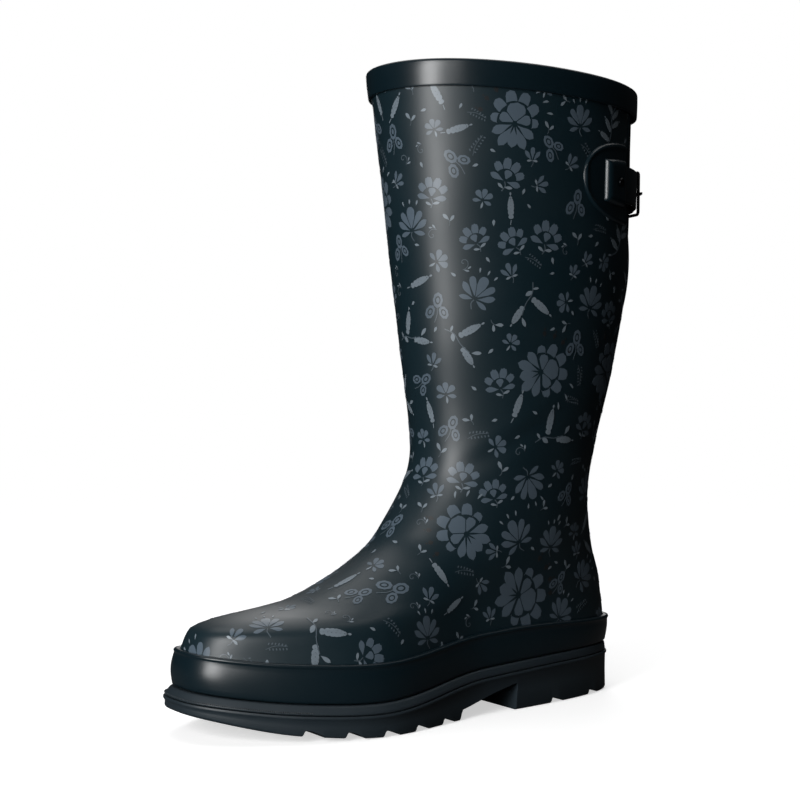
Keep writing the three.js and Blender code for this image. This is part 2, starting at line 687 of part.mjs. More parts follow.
function anchorRivet(sign) {
  const at = sign * rivetAt;
  const head = 0.9;
  const shankEnd = STIFFENER_OUT;
  const profile = [
    [0, shankEnd - 0.7],
    [RIVET_HEAD_RADIUS, shankEnd - 0.7],
    [RIVET_HEAD_RADIUS, shankEnd],
    [RIVET_SHANK_RADIUS, shankEnd],
    [RIVET_SHANK_RADIUS, HOUSING_TOP + 0.3],
    [RIVET_HEAD_RADIUS, HOUSING_TOP + 0.3],
    [0.8 * RIVET_HEAD_RADIUS, HOUSING_TOP + 0.3 + 0.7 * head],
    [0, HOUSING_TOP + 0.3 + head],
  ];
  const lathe = new THREE.LatheGeometry(profile.map(([r, z]) => new THREE.Vector2(r, z)), 12);
  lathe.rotateX(Math.PI / 2);
  const { middle, out, up } = strapFrame(at);
  const basis = new THREE.Matrix4().makeBasis(up.clone().cross(out).normalize(), up, out);
  return lathe.applyMatrix4(basis.setPosition(middle));
}

// ---- Buckle and keeper -------------------------------------------------------------------------

function roundedBox(shape, x0, x1, y, radius) {
  shape.moveTo(x0 + radius, -y);
  shape.lineTo(x1 - radius, -y);
  shape.absarc(x1 - radius, radius - y, radius, -Math.PI / 2, 0);
  shape.absarc(x1 - radius, y - radius, radius, 0, Math.PI / 2);
  shape.absarc(x0 + radius, y - radius, radius, Math.PI / 2, Math.PI);
  shape.absarc(x0 + radius, radius - y, radius, Math.PI, 1.5 * Math.PI);
  return shape;
}

function buckleFrame() {
  const inside = STRAP_WIDTH / 2 + 1.2;
  const bevel = 0.4 * BAR_RADIUS;
  const core = BAR_RADIUS - bevel;
  const shape = roundedBox(new THREE.Shape(), -core, frameLength + core, inside + BAR_RADIUS + core, 2);
  shape.holes.push(roundedBox(new THREE.Path(), core, frameLength - core, inside + BAR_RADIUS - core, 1));
  const edge = { bevelThickness: bevel, bevelSize: bevel, bevelSegments: 1 };
  const options = { depth: 2 * core, curveSegments: 3, ...edge };
  return new THREE.ExtrudeGeometry(shape, options).translate(0, 0, -core).applyMatrix4(buckleBasis);
}

function buckleTongue() {
  const outer = eyeInner + 1;
  const low = BAR_RADIUS + 0.35; // the tongue's underside over the end bar's middle
  const high = low + TONGUE;
  const reach = frameLength + BAR_RADIUS + 1.2;
  const leave = Math.asin(low / outer);
  const back = 0.62 * Math.PI; // where the arm's upper side meets the eye
  const shape = new THREE.Shape().absarc(0, 0, outer, back, 2 * Math.PI + leave);
  shape.lineTo(reach, low);
  shape.lineTo(reach + 0.6, (low + high) / 2);
  shape.lineTo(reach, high);
  shape.lineTo(outer, high);
  shape.holes.push(new THREE.Path().absarc(0, 0, eyeInner, 0, 2 * Math.PI));
  const options = { depth: TONGUE_WIDTH, curveSegments: 10, bevelEnabled: false };
  const flat = new THREE.ExtrudeGeometry(shape, options);
  flat.rotateX(Math.PI / 2).translate(0, TONGUE_WIDTH / 2, 0);
  return flat.applyMatrix4(buckleBasis);
}

function strapKeeper() {
  const inside = { y: STRAP_WIDTH / 2 + 0.6, low: STRAP_OFF - 0.6, high: overStrap + STRAP + 0.6 };
  const room = box(-1, KEEPER_WIDTH + 1, -inside.y, inside.y, inside.low, inside.high);
  const y = inside.y + KEEPER_WALL;
  const body = box(0, KEEPER_WIDTH, -y, y, inside.low - KEEPER_WALL, inside.high + KEEPER_WALL);
  const { middle, out, up } = strapFrame(KEEPER_AT);
  const across = up.clone().cross(out).normalize();
  const basis = new THREE.Matrix4().makeBasis(across, up, out);
  basis.setPosition(middle.addScaledVector(across, -KEEPER_WIDTH / 2));
  return cut(body, room).applyMatrix4(basis);
}

// ---- The wall: shell, stiffeners and lining ----------------------------------------------------

const rivetHole = (sign) => pin(sign * rivetAt, 0, RIVET_SHANK_RADIUS + GAP, LINING_OUT, HOUSING_TOP);

function upperShell() {
  const shell = ring((u) => [
    bottomPoint(u, -MARGIN, 0),
    ...wall(0, LEG_HEIGHT, 0).map(([h, off]) => skin(u, h, off)),
    ...wall(RUBBER, LEG_HEIGHT, -RUBBER).slice(1).reverse().map(([h, off]) => skin(u, h, off)),
    bottomPoint(u, -RUBBER, RUBBER),
    bottomPoint(u, -MARGIN, RUBBER),
  ]);
  return cut(shell, gussetCutter(), rivetHole(1), rivetHole(-1));
}

const liningLow = RUBBER + GAP;
function sockLining() {
  return ring((u) => [
    bottomPoint(u, -MARGIN, liningLow),
    bottomPoint(u, LINING_OUT, liningLow),
    ...wall(liningLow, LEG_HEIGHT, LINING_OUT).slice(1).map(([h, off]) => skin(u, h, off)),
    ...wall(liningLow, LEG_HEIGHT, LINING_IN).slice(1).reverse().map(([h, off]) => skin(u, h, off)),
    bottomPoint(u, LINING_IN, liningLow + LINING),
    bottomPoint(u, -MARGIN, liningLow + LINING),
  ]);
}

const rowOver = (height) => LEVELS.find((h) => h > height + 1);
const stiffenerLow = liningLow + 0.2;
const anklePatchRows = [rowOver(rowOver(TOE_BOX_HEIGHT)), rowOver(INSTEP_HEIGHT)];

// A stiffener between shell and lining, reaching both ways from a column of facets, between two heights.
function stiffener(column, reach, low, high) {
  const columns = steps((column - reach) / AROUND, (column + reach) / AROUND, 2 * reach);
  const rows = wall(low, high, 0).map(([h]) => h);
  return sheet(columns, rows, (u, h, side) => skin(u, h, side ? STIFFENER_OUT : STIFFENER_IN));
}

// ---- Binding and foxing ------------------------------------------------------------------------

function topBinding() {
  const outer = GAP + BINDING_WALL;
  const innerFace = LINING_IN - GAP;
  const inner = innerFace - BINDING_WALL;
  const crown = LEG_HEIGHT + GAP + BINDING_WALL;
  const round = 1;
  return wallRing(() => [
    [LEG_HEIGHT - BINDING_HEIGHT, GAP],
    [LEG_HEIGHT - BINDING_HEIGHT, outer - 0.6 * round],
    [LEG_HEIGHT - BINDING_HEIGHT + round, outer],
    [crown - round, outer],
    [crown, outer - round],
    [crown, inner + round],
    [crown - round, inner],
    [LEG_HEIGHT - BINDING_INSIDE_HEIGHT, inner],
    [LEG_HEIGHT - BINDING_INSIDE_HEIGHT, innerFace],
    [LEG_HEIGHT + GAP, innerFace],
    [LEG_HEIGHT + GAP, GAP],
  ]);
}

const foxingOut = GAP + FOXING_WALL;
function foxingBand() {
  const low = 0.3;
  return ring((u) => {
    const toFront = smoothstep(surface(u, 0).x, 0, 0.35 * FOOT_LENGTH);
    const top = lerp(FOXING_HEEL, FOXING_TOE, toFront);
    const below = (limit) => LEVELS.filter((h) => h > 0 && h < limit);
    const outline = [
      ...below(FOXING_HEEL - 3).map((h) => [h, foxingOut]),
      [top - 2.4, foxingOut],
      [top - 1.8, foxingOut + FOXING_BEAD],
      [top - 0.5, foxingOut + FOXING_BEAD],
      [top, foxingOut - 0.4],
      [top, GAP],
      ...below(FOXING_HEEL).map((h) => [h, GAP]).reverse(),
    ];
    const upper = outline.map(([h, off]) => skin(u, h, off));
    return [bottomPoint(u, GAP, low), bottomPoint(u, foxingOut, low), ...upper];
  });
}

// ---- Welt and outsole --------------------------------------------------------------------------

const weltTop = -GAP;
const weltBottom = weltTop - WELT_HEIGHT;
const soleTop = weltBottom - GAP;
const soleOut = (u) => foxingOut + ledgeAt(surface(u, 0).x);

function weltStrip() {
  const slope = 1;
  return ring((u) => [
    bottomPoint(u, WELT_INSIDE, weltBottom),
    bottomPoint(u, soleOut(u), weltBottom),
    bottomPoint(u, soleOut(u), weltTop - slope),
    bottomPoint(u, soleOut(u) - slope, weltTop),
    bottomPoint(u, WELT_INSIDE, weltTop),
  ]);
}

// A block across the boot between two places along it. Its half width and its faces follow x.
function slab(low, high, count, halfWidthAt, bottomAt, topAt) {
  return sheet(steps(low, high, count), [-1, 0, 1], (x, t, side) =>
    new THREE.Vector3(x, t * halfWidthAt(x), side ? topAt(x) : bottomAt(x))
  );
}

// A prism right across the sole, from an outline in x and z.
function across(outline) {
  const width = 2 * BALL_HALF_WIDTH + 40;
  const shape = new THREE.Shape(outline.map(([x, z]) => new THREE.Vector2(x, z)));
  const prism = new THREE.ExtrudeGeometry(shape, { depth: width, bevelEnabled: false });
  return prism.rotateX(Math.PI / 2).translate(0, width / 2, 0);
}

const under = 3; // how far the cutters reach below the tread
function archCutter() {
  const length = ARCH_END - HEEL_LENGTH;
  return across([
    [HEEL_LENGTH, -under],
    [HEEL_LENGTH, 0.1 * ARCH_HEIGHT],
    [HEEL_LENGTH - 0.5, 0.5 * ARCH_HEIGHT],
    [HEEL_LENGTH - 1.5, ARCH_HEIGHT],
    [HEEL_LENGTH + 0.4 * length, lerp(ARCH_LUG, ARCH_HEIGHT, 0.6)],
    [HEEL_LENGTH + 0.8 * length, lerp(ARCH_LUG, ARCH_HEIGHT, 0.12)],
    [ARCH_END - 2, ARCH_LUG],
    [ARCH_END, 0],
    [ARCH_END, -under],
  ]);
}
// A groove across the tread: upright on its toe side, with a slope on its heel side.
function grooveCutter(x) {
  const edge = 0.8;
  const start = x - LUG_RAMP;
  return across([
    [start, treadAt(start) - under],
    [start, treadAt(start)],
    [x - 0.28 * LUG_RAMP, treadAt(x) + 0.85 * LUG_DEPTH],
    [x - edge, treadAt(x) + LUG_DEPTH],
    [x + edge, treadAt(x)],
    [x + edge, treadAt(x) - under],
  ]);
}

const heelCoreStart = 12;
const heelCoreEnd = heelCoreStart + HEEL_CORE_LENGTH;
function heelCore(grow = 0) {
  const halfWidthAt = (x) => {
    const t = clamp((x - heelCoreStart + grow) / (0.6 * HEEL_CORE_WIDTH), 0, 1);
    return (HEEL_CORE_WIDTH / 2 + grow) * lerp(0.5, 1, Math.sqrt(1 - (1 - t) ** 2));
  };
  const topAt = (x) => liftAt(x) - 2 * GAP + (grow > 0 ? 3 : 0);
  return slab(heelCoreStart - grow, heelCoreEnd + grow, 10, halfWidthAt, () => HEEL_CORE_FLOOR - grow, topAt);
}

function outsole() {
  const rim = (off, zAt) => (u) => {
    const p = skin(u, 0, off(u));
    return new THREE.Vector3(p.x, p.y, zAt(p.x));
  };
  const inside = () => WELT_INSIDE - GAP;
  const ridge = (u) => soleOut(u) + RIDGE;
  const body = plate([
    rim((u) => soleOut(u) - SOLE_CHAMFER, treadAt),
    rim(soleOut, (x) => treadAt(x) + SOLE_CHAMFER),
    rim(soleOut, (x) => liftAt(x) + soleTop - 1.4 * RIDGE_HEIGHT),
    rim(ridge, (x) => liftAt(x) + soleTop - RIDGE_HEIGHT),
    rim(ridge, (x) => liftAt(x) + soleTop),
    rim(inside, (x) => liftAt(x) + soleTop),
    rim(inside, (x) => liftAt(x) - GAP),
  ]);
  const grooves = [0.3, 0.68].map((share) => share * HEEL_LENGTH);
  for (let x = ARCH_END + 14.5; x < 0.86 * FOOT_LENGTH; x += LUG_PITCH) grooves.push(x);
  return cut(body, archCutter(), heelCore(GAP), ...grooves.map(grooveCutter));
}

// ---- Under and over the insole board -----------------------------------------------------------

// A plate of even thickness that follows the sole's curve, with its edge at an offset from the wall.
function layer(off, low, high) {
  return plate([(u) => bottomPoint(u, off, low), (u) => bottomPoint(u, off, high)]);
}

const fillerLow = 0.1;
const shankLow = fillerLow + 1.1;
const shankStart = 0.2 * FOOT_LENGTH;
function shank(grow = 0) {
  const [low, high] = [shankStart - grow, shankStart + SHANK_LENGTH + grow];
  const halfWidthAt = (x) => {
    const fromEnd = clamp(Math.min(x - low, high - x) / (SHANK_WIDTH / 2), 0, 1);
    return (SHANK_WIDTH / 2 + grow) * lerp(0.5, 1, Math.sqrt(1 - (1 - fromEnd) ** 2));
  };
  const top = shankLow + SHANK_THICKNESS + (grow > 0 ? FILLER : 0);
  const bottomAt = (x) => liftAt(x) + shankLow - grow;
  return slab(low, high, 20, halfWidthAt, bottomAt, (x) => liftAt(x) + top);
}

const boardLow = liningLow + LINING + GAP;
const foamLow = boardLow + BOARD + GAP;
const coverLow = foamLow + FOOTBED_FOAM + GAP;
const footbedEdge = LINING_IN - FOOTBED_PLAY;

// ---- The boot ----------------------------------------------------------------------------------

add("upper_shell", upperShell(), printedRubber);
add("back_gusset", backGusset(), finish(0x0c1013, 0.55));
add("gusset_piping", gussetPiping(), glossRubber);
add("top_binding", topBinding(), glossRubber);
add("foxing_band", foxingBand(), glossRubber);
add("welt_strip", weltStrip(), soleRubber);
add("outsole", outsole(), soleRubber);
add("heel_core", heelCore(), foam);
add("bottom_filler", cut(layer(-MARGIN - GAP, fillerLow, fillerLow + FILLER), shank(GAP)), foam);
add("shank", shank(), steel);
add("insole_board", layer(LINING_IN - GAP, boardLow, boardLow + BOARD), board);
add("footbed_foam", layer(footbedEdge, foamLow, foamLow + FOOTBED_FOAM), foam);
add("footbed_cover", layer(footbedEdge, coverLow, coverLow + FOOTBED_COVER), knit);
add("sock_lining", sockLining(), knit);
add("heel_counter", stiffener(0, HEEL_COUNTER_REACH, stiffenerLow, rowOver(TOE_BOX_HEIGHT)), board);
add("toe_puff", stiffener(AROUND / 2, TOE_PUFF_REACH, stiffenerLow, TOE_BOX_HEIGHT), board);
for (const [sign, side] of [[1, "outer"], [-1, "inner"]]) {
  const patch = stiffener(sign * ANKLE_PATCH_AT, ANKLE_PATCH_REACH, ...anklePatchRows);
  add(`ankle_patch_${side}`, patch, knit);
}
for (const [sign, side] of [[1, "outer"], [-1, "inner"]]) {
  add(`strap_patch_${side}`, cut(strapPatch(sign), rivetHole(sign)), glossRubber);
  add(`strap_housing_${side}`, strapHousing(sign), glossRubber);
  add(`anchor_rivet_${side}`, anchorRivet(sign), blackenedMetal);
}
add("hole_strap", holeStrap(), glossRubber);
add("buckle_strap", buckleStrap(), glossRubber);
add("buckle_frame", buckleFrame(), blackenedMetal);
add("buckle_tongue", buckleTongue(), blackenedMetal);
add("strap_keeper", strapKeeper(), glossRubber);

// The middle of the whole boot's box over the origin, and the tread on the ground.
const bounds = new THREE.Box3().setFromObject(group, true);
const middle = bounds.getCenter(new THREE.Vector3());
group.position.set(-middle.x, -middle.y, -bounds.min.z);

export default group;
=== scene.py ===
import json
import logging
import math
from dataclasses import dataclass, field
from enum import Enum
from typing import Callable

import bmesh
import bpy
import numpy as np
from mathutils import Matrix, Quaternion, Vector

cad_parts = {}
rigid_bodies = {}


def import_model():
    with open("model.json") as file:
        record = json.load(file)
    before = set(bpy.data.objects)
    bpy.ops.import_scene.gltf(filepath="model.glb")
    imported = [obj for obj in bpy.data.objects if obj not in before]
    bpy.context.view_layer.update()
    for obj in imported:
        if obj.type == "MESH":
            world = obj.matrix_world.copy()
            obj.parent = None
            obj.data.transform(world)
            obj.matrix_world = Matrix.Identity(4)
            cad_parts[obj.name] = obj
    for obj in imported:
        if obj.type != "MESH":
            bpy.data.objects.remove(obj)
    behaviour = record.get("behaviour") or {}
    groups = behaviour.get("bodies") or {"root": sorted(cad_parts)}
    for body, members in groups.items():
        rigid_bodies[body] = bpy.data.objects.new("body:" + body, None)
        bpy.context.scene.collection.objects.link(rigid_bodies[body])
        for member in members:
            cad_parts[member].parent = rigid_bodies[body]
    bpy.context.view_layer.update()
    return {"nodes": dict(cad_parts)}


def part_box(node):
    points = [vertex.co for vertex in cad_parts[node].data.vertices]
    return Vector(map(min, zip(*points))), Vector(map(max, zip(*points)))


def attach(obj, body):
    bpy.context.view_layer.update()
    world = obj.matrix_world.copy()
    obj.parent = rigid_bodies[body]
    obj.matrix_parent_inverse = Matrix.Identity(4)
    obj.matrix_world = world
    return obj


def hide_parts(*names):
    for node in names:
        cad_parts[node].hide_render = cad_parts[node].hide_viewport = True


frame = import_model()

LOG = logging.getLogger("rain_boot")
Array = np.ndarray
Spot = tuple[float, float]
Triple = tuple[float, float, float]
Profile = list[Spot]
Piece, Material = bpy.types.Object, bpy.types.Material
Node, NodeTree, Socket = bpy.types.Node, bpy.types.NodeTree, bpy.types.NodeSocket
MM = 0.001


# ---- Small sums ---------------------------------------------------------------------------------


def smoothstep(x: float | Array, low: float, high: float) -> float | Array:
    """A soft step from 0 at low to 1 at high."""
    t = np.clip((np.asarray(x, float) - low) / (high - low), 0.0, 1.0)
    return t * t * (3 - 2 * t)


def lerp(a: float | Array, b: float | Array, t: float | Array) -> float | Array:
    """The value a share t of the way from a to b."""
    return a + (b - a) * t


def unit(v: Array) -> Array:
    """The vectors of an array, one unit long."""
    return v / np.maximum(np.linalg.norm(v, axis=-1, keepdims=True), 1e-12)


def rounded(corners: list[Triple], steps: int = 4) -> Profile:
    """An outline with its corners rounded.

    Args:
        corners: each corner's two coordinates and how far back its rounding starts.
        steps: facets on a corner.

    Returns:
        The outline's points in order.
    """
    points: Profile = []
    places = [np.array(c[:2], float) for c in corners]
    for i, (*_, radius) in enumerate(corners):
        corner = places[i]
        start = corner + unit(places[i - 1] - corner) * radius
        end = corner + unit(places[(i + 1) % len(places)] - corner) * radius
        for k in range(steps + 1):
            t = k / steps
            p = start * (1 - t) ** 2 + corner * 2 * t * (1 - t) + end * t * t
            points.append((float(p[0]), float(p[1])))
    return points


class SmoothLine:
    """A smooth curve y(x) through points, with no overshoot between them."""

    def __init__(self, *points: Spot) -> None:
        """Works out the tangents.

        Args:
            points: the places that the curve passes through, in order of x.
        """
        self.x, self.y = (np.array(v, float) for v in zip(*points))
        slope = np.diff(self.y) / np.diff(self.x)
        a, b = slope[:-1], slope[1:]
        total = np.where(np.abs(a + b) < 1e-12, 1.0, a + b)
        inner = np.where(a * b <= 0, 0.0, 2 * a * b / total)
        self.tangent = np.concatenate([slope[:1], inner, slope[-1:]])

    def __call__(self, x: float | Array) -> Array:
        """The curve's height at x, which stays level past both ends."""
        x = np.asarray(x, float)
        i = np.searchsorted(self.x[1:-1], x, side="left")
        width = self.x[i + 1] - self.x[i]
        t = np.clip((x - self.x[i]) / width, 0.0, 1.0)
        t2, t3 = t * t, t * t * t
        ends = self.y[i] * (2 * t3 - 3 * t2 + 1) + self.y[i + 1] * (3 * t2 - 2 * t3)
        bends = self.tangent[i] * (t3 - 2 * t2 + t) + self.tangent[i + 1] * (t3 - t2)
        return ends + width * bends


# ---- The boot's form ----------------------------------------------------------------------------


@dataclass
class BootForm:
    """The boot's outer surface in millimetres, with the back of the heel near x = 0.

    A place on it is a turn round the boot (0 at the back, 0.25 on the outer side, 0.5 in front) and a
    height over the feather line, where the upper meets the sole.
    """

    foot_length: float = 284.0
    heel_half_width: float = 34.0
    waist_half_width: float = 35.0
    ball_half_width: float = 50.0
    toe_half_width: float = 42.0
    toe_swing: float = 10.0
    toe_box_height: float = 36.0
    instep_height: float = 74.0
    heel_lift: float = 30.0
    waist_lift: float = 27.0
    ball_lift: float = 18.5
    toe_lift: float = 27.0
    bend_height: float = 124.0
    ankle_height: float = 97.0
    leg_height: float = 345.0
    ankle_depth: float = 120.0
    ankle_half_width: float = 41.0
    top_depth: float = 177.0
    top_half_width: float = 63.0
    top_dip: float = 7.0
    heel_to_ankle: float = 13.0
    top_rake_back: float = 31.0
    gap: float = 0.4
    rubber: float = 2.2
    foxing_wall: float = 2.6
    toe_ledge: float = 4.5
    heel_ledge: float = 0.4
    toe_spring: float = 15.0
    gusset_half_width: float = 60.0
    gusset_depth: float = 165.0
    samples: int = 360

    def __post_init__(self) -> None:
        """Draws the side view, the plan and the sole's curve from the sizes."""
        length, leg, box = self.foot_length, self.leg_height, self.toe_box_height
        ankle, bend, instep = self.ankle_height, self.bend_height, self.instep_height
        ankle_back = self.heel_to_ankle
        ankle_front = ankle_back + self.ankle_depth
        top_back = ankle_back - self.top_rake_back
        top_front = top_back + self.top_depth
        vamp, rise, shin = length - ankle_front, leg - ankle, leg - bend
        self.front_at = SmoothLine(
            (0, length - 1), (9, length), (0.62 * box, length - 2.5), (0.86 * box, length - 6),
            (box, length - 18), (0.77 * box + 0.23 * instep, length - 0.43 * vamp),
            (instep, length - 0.82 * vamp), (bend, ankle_front),
            (bend + 0.3 * shin, ankle_front + 0.3 * (top_front - ankle_front)), (leg, top_front),
        )
        self.back_at = SmoothLine(
            (0, 1), (16, -2), (34, 0), (0.62 * ankle, 0.55 * ankle_back), (ankle, ankle_back),
            (ankle + 0.3 * rise, ankle_back - 0.55 * self.top_rake_back),
            (ankle + 0.62 * rise, ankle_back - 0.97 * self.top_rake_back), (leg, top_back),
        )
        self.leg_half_width_at = SmoothLine(
            (0, self.heel_half_width), (ankle, self.ankle_half_width),
            (ankle + 0.5 * rise, 0.42 * self.ankle_half_width + 0.58 * self.top_half_width),
            (leg, self.top_half_width),
        )
        self.foot_half_width_at = SmoothLine(
            (0, self.heel_half_width), (0.14 * length, self.heel_half_width),
            (0.4 * length, self.waist_half_width), (0.69 * length, self.ball_half_width),
            (0.92 * length, self.toe_half_width), (length, 0.9 * self.toe_half_width),
        )
        self.centre_at = SmoothLine(
            (0, 0), (0.4 * length, 1.5), (0.69 * length, 0), (length, -self.toe_swing)
        )
        tip = length + self.gap + self.foxing_wall + self.toe_ledge
        self.lift_at = SmoothLine(
            (0, self.heel_lift), (0.18 * length, self.heel_lift - 0.5), (0.4 * length, self.waist_lift),
            (0.69 * length, self.ball_lift), (0.84 * length, lerp(self.ball_lift, self.toe_lift, 0.25)),
            (tip, self.toe_lift),
        )
        self.bluntness_at = SmoothLine((0, 3), (15, 2.9), (box, 2.65), (instep, 2.15), (leg, 2.08))
        self.tread_at = SmoothLine(
            (0, 0), (0.66 * length, 0), (0.84 * length, 0.25 * self.toe_spring), (tip, self.toe_spring)
        )
        self.ledge_at = SmoothLine(
            (0, self.heel_ledge), (0.3 * length, lerp(self.heel_ledge, self.toe_ledge, 0.2)),
            (0.7 * length, lerp(self.heel_ledge, self.toe_ledge, 0.7)), (length, self.toe_ledge),
        )
        low, depth, half = leg - self.gusset_depth, self.gusset_depth, self.gusset_half_width
        self.opening_at = SmoothLine(
            (low, 0), (low + 0.04 * depth, 0.18 * half), (low + 0.2 * depth, 0.45 * half),
            (low + 0.36 * depth, 0.7 * half), (low + 0.52 * depth, 0.9 * half),
            (low + 0.7 * depth, 0.98 * half), (leg, half),
        )
        self.gusset_bottom = low
        shank_start = 0.2
        self.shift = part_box("shank")[0].x / MM - shank_start * length
        self._outlines: dict[float, list[tuple[Array, Array, Array]]] = {}

    def outline(self, height: float) -> list[tuple[Array, Array, Array]]:
        """The outline at a height: x, y and running length of the outer side and of the inner side."""
        key = round(float(height), 3)
        if key in self._outlines:
            return self._outlines[key]
        back, front = float(self.back_at(height)), float(self.front_at(height))
        to_leg = smoothstep(height, 12.0, 0.85 * self.ankle_height)
        power = float(self.bluntness_at(height))
        c = np.cos(np.pi * np.linspace(0, 1, self.samples + 1))
        x = back + (front - back) * (1 - c) / 2
        half = lerp(self.foot_half_width_at(x), self.leg_half_width_at(height), to_leg)
        bow = np.clip(1 - np.abs(c) ** power, 0, 1) ** (1 / power)
        sides = []
        for side in (1.0, -1.0):
            y = self.centre_at(x) * (1 - to_leg) + side * half * bow
            run = np.concatenate([[0.0], np.cumsum(np.hypot(np.diff(x), np.diff(y)))])
            sides.append((x, y, run))
        self._outlines[key] = sides
        return sides

    def surface(self, turn: Array, height: float) -> Array:
        """Points of the plain surface at one height."""
        turn = np.asarray(turn, float) % 1.0
        outer, inner = self.outline(height)
        share = np.where(turn <= 0.5, 2 * turn, 2 - 2 * turn)
        on_outer, on_inner = share * outer[2][-1], share * inner[2][-1]
        x = np.where(
            turn <= 0.5, np.interp(on_outer, outer[2], outer[0]), np.interp(on_inner, inner[2], inner[0])
        )
        y = np.where(
            turn <= 0.5, np.interp(on_outer, outer[2], outer[1]), np.interp(on_inner, inner[2], inner[1])
        )
        back, front = self.back_at(height), self.front_at(height)
        to_back = (front - x) / (front - back)
        dip = self.top_dip * smoothstep(height, self.ankle_height, self.leg_height) * to_back
        lift = lerp(self.lift_at(x), self.heel_lift, smoothstep(height, 0, self.ankle_height))
        return np.stack([x, y, height - dip + lift], axis=-1)

    def outward(self, turn: Array, height: float) -> Array:
        """The direction straight out of the surface."""
        step, rise = 0.004, 1.0
        level = float(np.clip(height, rise, self.leg_height - rise))
        round_it = self.surface(turn + step, level) - self.surface(turn - step, level)
        up = self.surface(turn, level + rise) - self.surface(turn, level - rise)
        return unit(np.cross(up, round_it))

    def skin(self, turn: Array, height: float, off: float | Array = 0.0) -> Array:
        """Points of the surface at one height, moved outwards by off."""
        turn = np.asarray(turn, float)
        off = np.broadcast_to(np.asarray(off, float), turn.shape)
        return self.surface(turn, height) + self.outward(turn, height) * off[..., None]

    def skin_mixed(self, turn: Array, height: Array, off: float | Array = 0.0) -> Array:
        """Points of the moved surface where each has its own height."""
        turn = np.asarray(turn, float)
        height = np.broadcast_to(np.asarray(height, float), turn.shape)
        off = np.broadcast_to(np.asarray(off, float), turn.shape)
        low = np.floor(height)
        result = np.zeros(turn.shape + (3,))
        for level in np.unique(low):
            here = low == level
            t = (height[here] - level)[:, None]
            under = self.skin(turn[here], level, off[here])
            over = self.skin(turn[here], level + 1, off[here])
            result[here] = lerp(under, over, t)
        return result

    def foot_rim(self, turn: Array, off: float | Array, height: float | Array) -> Array:
        """Points near the feather line: off outwards from it, and height over its curve."""
        p = self.skin(turn, 0.0, off)
        p[..., 2] = self.lift_at(p[..., 0]) + height
        return p

    def arc_turn(self, along: Array, height: float) -> Array:
        """The turn at a distance along the wall from the middle of the back, + on the outer side."""
        outer, inner = self.outline(height)
        along = np.asarray(along, float)
        return np.where(along >= 0, along / (2 * outer[2][-1]), along / (2 * inner[2][-1]))

    def girth(self, height: float) -> float:
        """The length once round the boot at a height."""
        outer, inner = self.outline(height)
        return float(outer[2][-1] + inner[2][-1])


FORM = BootForm()


class Layer(Enum):
    """Offsets of the wall's layers from its surface."""

    STIFFENER_OUT = -2.8
    STIFFENER_IN = -3.7
    LINING_OUT = -4.1
    LINING_IN = -5.1


# ---- Making meshes ------------------------------------------------------------------------------


class Draft:
    """Points and faces of a piece in millimetres, before they become a mesh."""

    def __init__(self) -> None:
        """Starts with nothing in it."""
        self.points: list[Array] = []
        self.faces: list[tuple[int, ...]] = []
        self.count = 0

    def add(self, points: Array) -> int:
        """Adds points and gives the number of the first."""
        first = self.count
        self.points.append(np.asarray(points, float).reshape(-1, 3))
        self.count += len(self.points[-1])
        return first

    def grid(self, points: Array, wrap_rows: bool = False, wrap_columns: bool = False) -> int:
        """Adds a grid of points with a face in each square.

        Args:
            points: rows by columns by 3.
            wrap_rows: whether the last row joins the first.
            wrap_columns: whether the last column joins the first.

        Returns:
            The number of the first point.
        """
        rows, columns = points.shape[:2]
        first = self.add(points)
        for i in range(rows if wrap_rows else rows - 1):
            for j in range(columns if wrap_columns else columns - 1):
                a = first + i * columns + j
                b = first + i * columns + (j + 1) % columns
                c = first + ((i + 1) % rows) * columns + (j + 1) % columns
                d = first + ((i + 1) % rows) * columns + j
                self.faces.append((a, b, c, d))
        return first

    def tube(self, sections: Array, closed: bool = False) -> None:
        """Adds a tube of closed sections, with its ends closed unless the tube is itself a ring."""
        count, sides = sections.shape[:2]
        first = self.grid(sections, wrap_rows=closed, wrap_columns=True)
        if not closed:
            self.faces.append(tuple(first + k for k in range(sides)))
            last = first + (count - 1) * sides
            self.faces.append(tuple(last + k for k in reversed(range(sides))))

    def slab(self, outer: Array, inner: Array) -> None:
        """Adds a sheet with thickness from two grids of one size, closed round its edge."""
        rows, columns = outer.shape[:2]
        a = self.grid(outer)
        b = self.grid(inner)
        rim = [i * columns for i in range(rows)]
        rim += [(rows - 1) * columns + j for j in range(1, columns)]
        rim += [i * columns + columns - 1 for i in range(rows - 2, -1, -1)]
        rim += [j for j in range(columns - 2, 0, -1)]
        for k, here in enumerate(rim):
            after = rim[(k + 1) % len(rim)]
            self.faces.append((a + here, a + after, b + after, b + here))

    def piece(self, name: str, sharp: float = 35.0, weld: float = 1e-6) -> Piece:
        """Makes the object, in metres in the boot's frame, with its faces outwards.

        Args:
            name: the object's name.
            sharp: edges that turn by more than this many degrees stay crisp.
            weld: points nearer than this, in metres, become one.

        Returns:
            The object, linked to the scene.
        """
        points = (np.concatenate(self.points) + np.array([FORM.shift, 0, 0])) * MM
        return mesh_piece(name, points, self.faces, sharp, weld)


